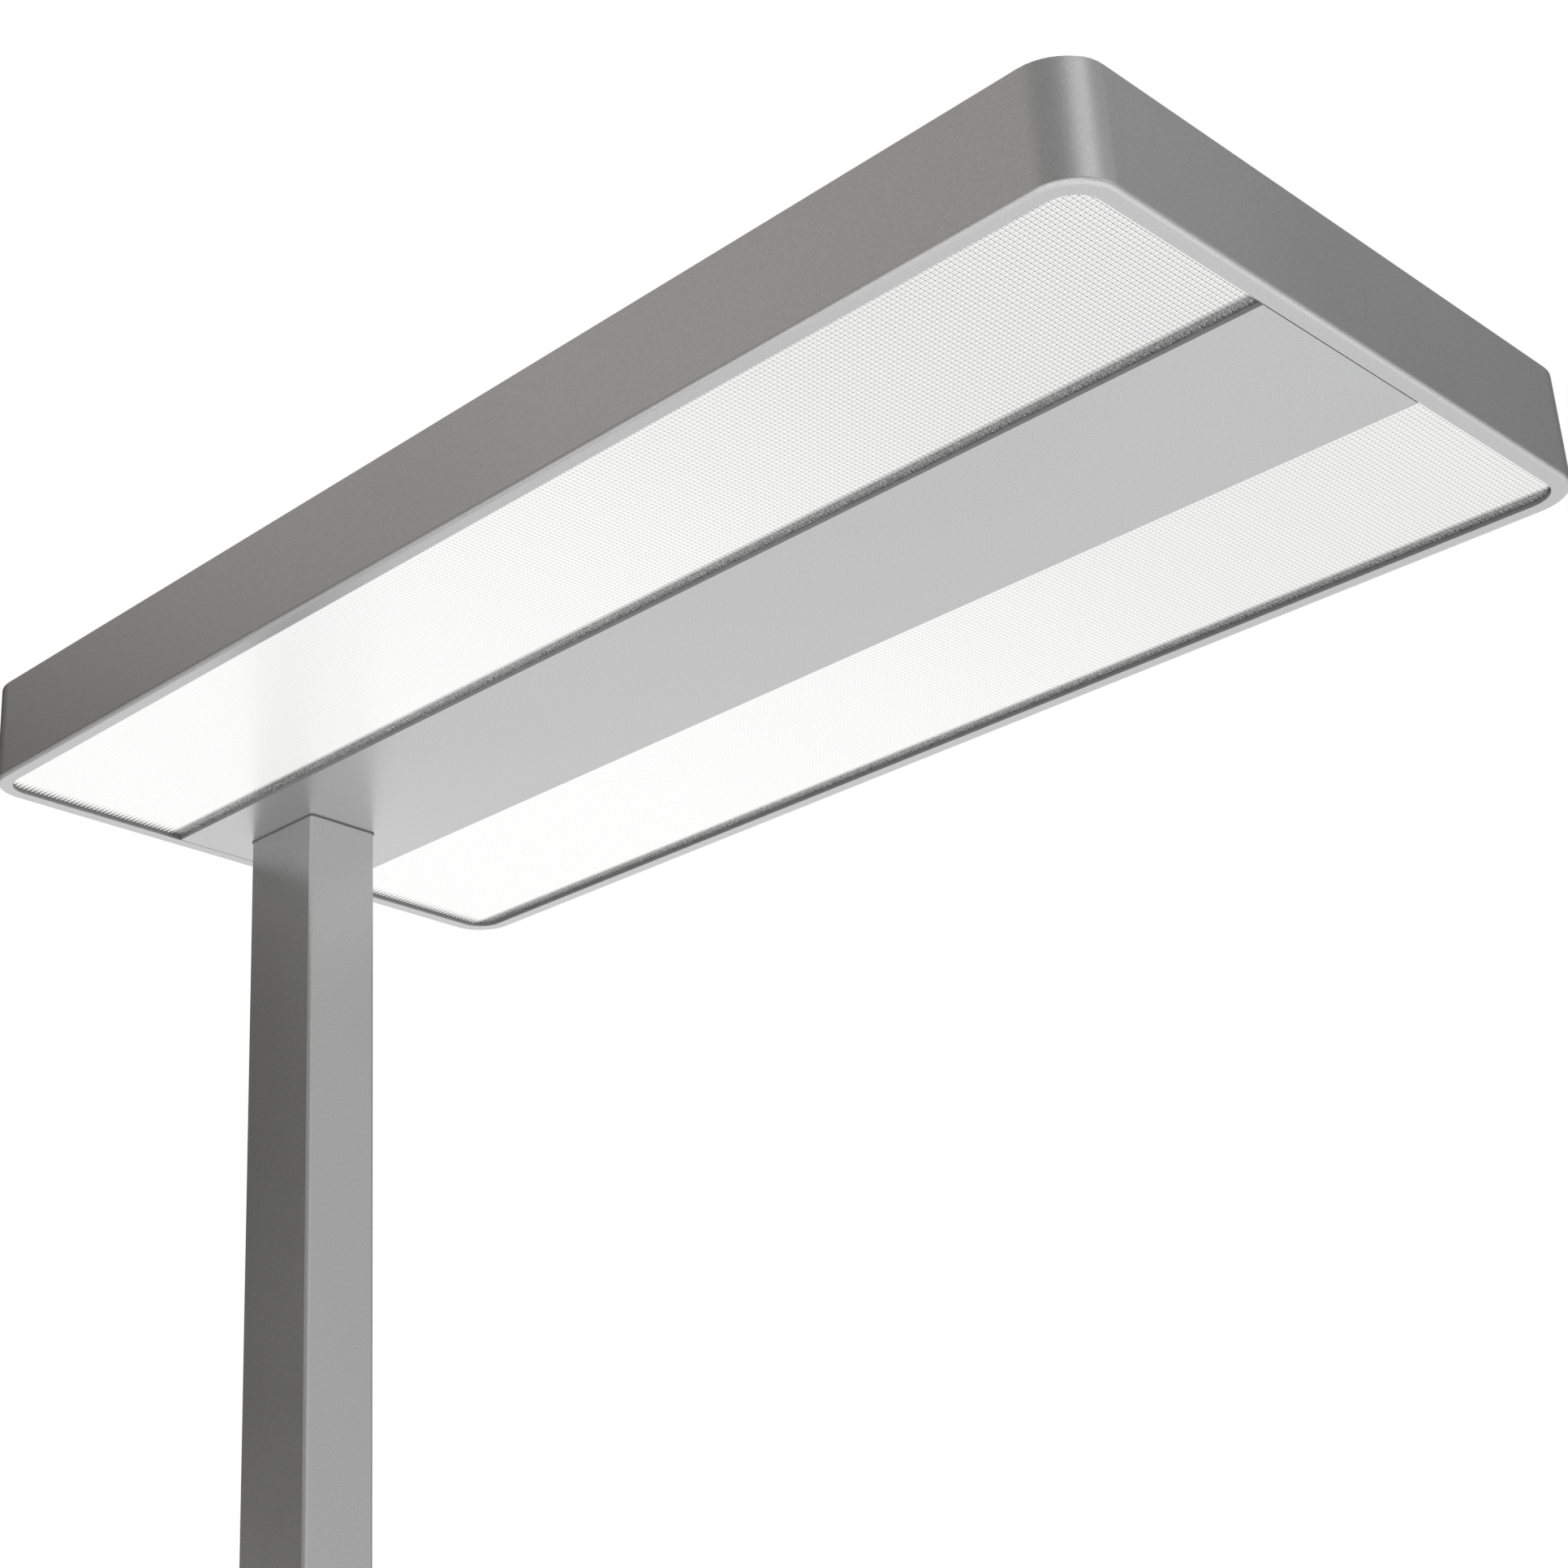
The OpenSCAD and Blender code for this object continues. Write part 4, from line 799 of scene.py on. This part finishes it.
# %% [markdown]
# ## The room
# The lamp was photographed on white, and its paint tells what stood around it: a white floor and backdrop
# and a dimmer room behind the camera, with brighter and darker places on its walls. The room could be
# built, but the paint is nearly a mirror and blurs what it shows. So the room is one grey level in the
# world, and patches that fade out around a direction make it brighter or darker there.

# %% Find the patches of the room
room = bpy.data.worlds.new("studio_room")
scene.world = room
room.use_nodes = True
air = room.node_tree
air.nodes.clear()
sight = air.nodes.new("ShaderNodeTexCoord").outputs["Generated"]


def aim(azimuth, elevation):
    """The direction at that azimuth from +x and that height over the floor, in degrees."""
    a, e = math.radians(azimuth), math.radians(elevation)
    return Vector((math.cos(a) * math.cos(e), math.sin(a) * math.cos(e), math.sin(e)))


def patch(azimuth, elevation, inner, outer):
    """1 within inner degrees of a direction, falling smoothly to 0 at outer degrees."""
    dot = air.nodes.new("ShaderNodeVectorMath")
    dot.operation = "DOT_PRODUCT"
    dot.inputs[1].default_value = aim(azimuth, elevation)
    air.links.new(sight, dot.inputs[0])
    start, end = math.cos(math.radians(outer)), math.cos(math.radians(inner))
    return smooth(air, dot.outputs["Value"], start, end)


ROOM_LEVEL = 0.382
ROOM_LEAST = 0.02
# azimuth, elevation, degrees of its full strength and of its edge, change of brightness
ROOM_PATCHES = (
    (15, 12, 8, 40, 0.238),
    (-15, 36, 2, 16, 0.017),
    (30, 44, 2, 16, -0.289),
    (76, 20, 4, 30, -0.229),
    (-75, 24, 8, 40, -0.144),
    (-143, 14, 4, 20, -0.306),
    (-150, 12, 2, 16, -0.323),
    (-150, 3, 2, 14, 0.306),
    (-143, 29, 3, 11, 0.19),
    (-176, 16, 8, 30, -0.24),
    (160, 22, 8, 26, -0.24),
)
level = ROOM_LEVEL
for azimuth, elevation, inner, outer, change in ROOM_PATCHES:
    level = maths(air, "ADD", level, product(air, patch(azimuth, elevation, inner, outer), change))
level = maths(air, "MAXIMUM", level, ROOM_LEAST)
print("patches in the room:", len(ROOM_PATCHES))

# %% [markdown]
# The backdrop is white for camera rays and, towards its own side of the room, for glossy and transmission
# rays too, so that metal and glass show it. A brighter world would do the same, but it would light the lamp
# from everywhere and wash its shadows out, and this adds no light to the object. One side of the room is a
# little warm, as the photograph's near wall is.

# %% Paint the room
WHITE_BACKDROP = (138, -32, 40, 58)
WARM_SIDE = (-143, 20, 25, 60)
LESS_BY_WARMTH = (("Red", 0.0), ("Green", 0.012), ("Blue", 0.045))

grey = air.nodes.new("ShaderNodeCombineColor")
warm_side = patch(*WARM_SIDE)
for channel, less in LESS_BY_WARMTH:
    air.links.new(product(air, level, dimmed(air, warm_side, less)), grey.inputs[channel])

rays = air.nodes.new("ShaderNodeLightPath")
mirror_rays = maths(air, "MAXIMUM", rays.outputs["Is Glossy Ray"], rays.outputs["Is Transmission Ray"])
backdrop = product(air, mirror_rays, patch(*WHITE_BACKDROP))
white_share = maths(air, "MAXIMUM", rays.outputs["Is Camera Ray"], backdrop)

sky = air.nodes.new("ShaderNodeBackground")
tone = two_tones(air, white_share, (0.0, 0.0, 0.0), (1.0, 1.0, 1.0), sky.inputs["Color"])
air.links.new(grey.outputs["Color"], tone.inputs["A"])
air.links.new(sky.outputs["Background"], air.nodes.new("ShaderNodeOutputWorld").inputs["Surface"])
print("nodes in the room's tree:", len(air.nodes))

# %% [markdown]
# ## The floor
# The floor is a wide pale sheet with hardly any pattern. It catches the shadow of the foot. Left alone it
# would be a grey disc, so a lift for camera rays makes it nearly as white as the backdrop without more light
# on the lamp.

# %% Lay the floor
floor_mesh = bpy.data.meshes.new("studio_floor")
floor_shape = bmesh.new()
bmesh.ops.create_circle(floor_shape, cap_ends=True, segments=96, radius=16.0)
floor_shape.to_mesh(floor_mesh)
floor_shape.free()
studio_floor = bpy.data.objects.new("studio_floor", floor_mesh)
scene.collection.objects.link(studio_floor)

CAMERA_LIFT = 0.60
floor_paper, sheet, paper = start_finish("floor_paper", 0.85)
fibre = spread(sheet, grain(sheet, 40.0, detail=4.0), 0.0, 1.0)
two_tones(sheet, fibre, (0.87, 0.87, 0.87), (0.89, 0.89, 0.89), paper.inputs["Base Color"])
paper.inputs["Emission Color"].default_value = (1.0, 1.0, 1.0, 1.0)
seen = sheet.nodes.new("ShaderNodeLightPath")
camera_lift = product(sheet, seen.outputs["Is Camera Ray"], CAMERA_LIFT)
sheet.links.new(camera_lift, paper.inputs["Emission Strength"])
dress(floor_paper, "studio_floor")

# %% [markdown]
# The underside of the head is a mirror that looks down, and most of what it shows is this floor. What it
# shows in the photograph is brighter on some sides than on others. Lamps over the floor could do that, but
# they would light the head too. So for glossy and transmission rays the floor is a glow of its own, with
# a base level and four brighter sides. From below the sheet is clear, so that the pads and bolts under the
# foot can be looked at too.

# %% Tell mirrors what the floor looks like
MIRROR_LEVEL = 0.306
FAR_SIDE = 0.37
BACKDROP_SIDE = 0.38
NEAR_SIDE = 0.55
FRONT_SIDE = 0.50
FRONT_MIDDLE = (1.0, 0.3)

floor_x, floor_y, _ = split(sheet, place_on_object(sheet))
far_side = product(sheet, smooth(sheet, floor_y, -1.5, 2.2), FAR_SIDE)
slanted = maths(sheet, "SUBTRACT", floor_x, product(sheet, floor_y, 0.55))
behind = smooth(sheet, floor_y, 0.0, 2.0)
backdrop_side = product(sheet, smooth(sheet, slanted, -3.78, -5.78), behind, BACKDROP_SIDE)
nearer = smooth(sheet, floor_y, -0.3, -1.3)
near_side = product(sheet, nearer, smooth(sheet, floor_x, -2.8, -2.0), NEAR_SIDE)
squares = [maths(sheet, "POWER", maths(sheet, "SUBTRACT", value, middle), 2.0)
           for value, middle in zip((floor_x, floor_y), FRONT_MIDDLE)]
from_front = maths(sheet, "ADD", *squares)
front_side = product(sheet, smooth(sheet, from_front, 8.0, 2.5), FRONT_SIDE)
mirror_level = MIRROR_LEVEL
for share in (far_side, backdrop_side, near_side, front_side):
    mirror_level = maths(sheet, "ADD", share, mirror_level)
mirror_level = maths(sheet, "MINIMUM", mirror_level, 1.0)


def either(share, first, second):
    """A mix of two shaders: the first where share is 0 and the second where it is 1."""
    mix = sheet.nodes.new("ShaderNodeMixShader")
    for socket, value in zip(mix.inputs, (share, first, second)):
        sheet.links.new(value, socket)
    return mix.outputs["Shader"]


glow = sheet.nodes.new("ShaderNodeEmission")
sheet.links.new(mirror_level, glow.inputs["Strength"])
mirror_rays = maths(sheet, "MAXIMUM", seen.outputs["Is Glossy Ray"], seen.outputs["Is Transmission Ray"])
from_above = either(mirror_rays, paper.outputs["BSDF"], glow.outputs["Emission"])
from_below = sheet.nodes.new("ShaderNodeNewGeometry").outputs["Backfacing"]
clear = sheet.nodes.new("ShaderNodeBsdfTransparent").outputs["BSDF"]
floor_out = find_node(sheet, "OUTPUT_MATERIAL")
sheet.links.new(either(from_below, from_above, clear), floor_out.inputs["Surface"])
print("nodes in the floor's tree:", len(sheet.nodes))

# %% [markdown]
# ## Two soft boxes
# One soft box hangs in front of the head and gives the rounded corner its long highlight, and a larger one
# overhead lights the top and throws the foot's soft shadow. Small strong lamps would show in the paint as
# hard dots, so both are wide and dim. Their strength is given as the brightness of the face.

# %% Hang the soft boxes
HEAD_PLACE = Vector((0.0, 0.0, 1.92))


def soft_box(name, azimuth, elevation, distance, width, height, brightness):
    """A rectangle of soft light that faces the head. A brightness of 1 looks white."""
    light = bpy.data.lights.new(name, "AREA")
    light.shape = "RECTANGLE"
    light.size = width
    light.size_y = height
    light.energy = brightness * math.pi * width * height
    box = bpy.data.objects.new(name, light)
    scene.collection.objects.link(box)
    box.location = HEAD_PLACE + aim(azimuth, elevation) * distance
    box.rotation_euler = (HEAD_PLACE - box.location).to_track_quat("-Z", "Y").to_euler()
    box.visible_camera = False
    print(name, "hangs at", tuple(round(c, 2) for c in box.location))


soft_box("front_soft_box", -12, 37, 3.2, 1.5, 1.5, 0.36)
soft_box("overhead_soft_box", 60, 80, 3.4, 2.4, 1.6, 2.1)

# %% [markdown]
# ## The picture's tone
# Blender's usual view softens bright colours like film does, which turns a white backdrop grey. The
# photograph's white is plain white, so the Standard view is used, which leaves the colours as they are.

# %% Set the picture's tone
scene.view_settings.view_transform = "Standard"
print("view:", scene.view_settings.view_transform)
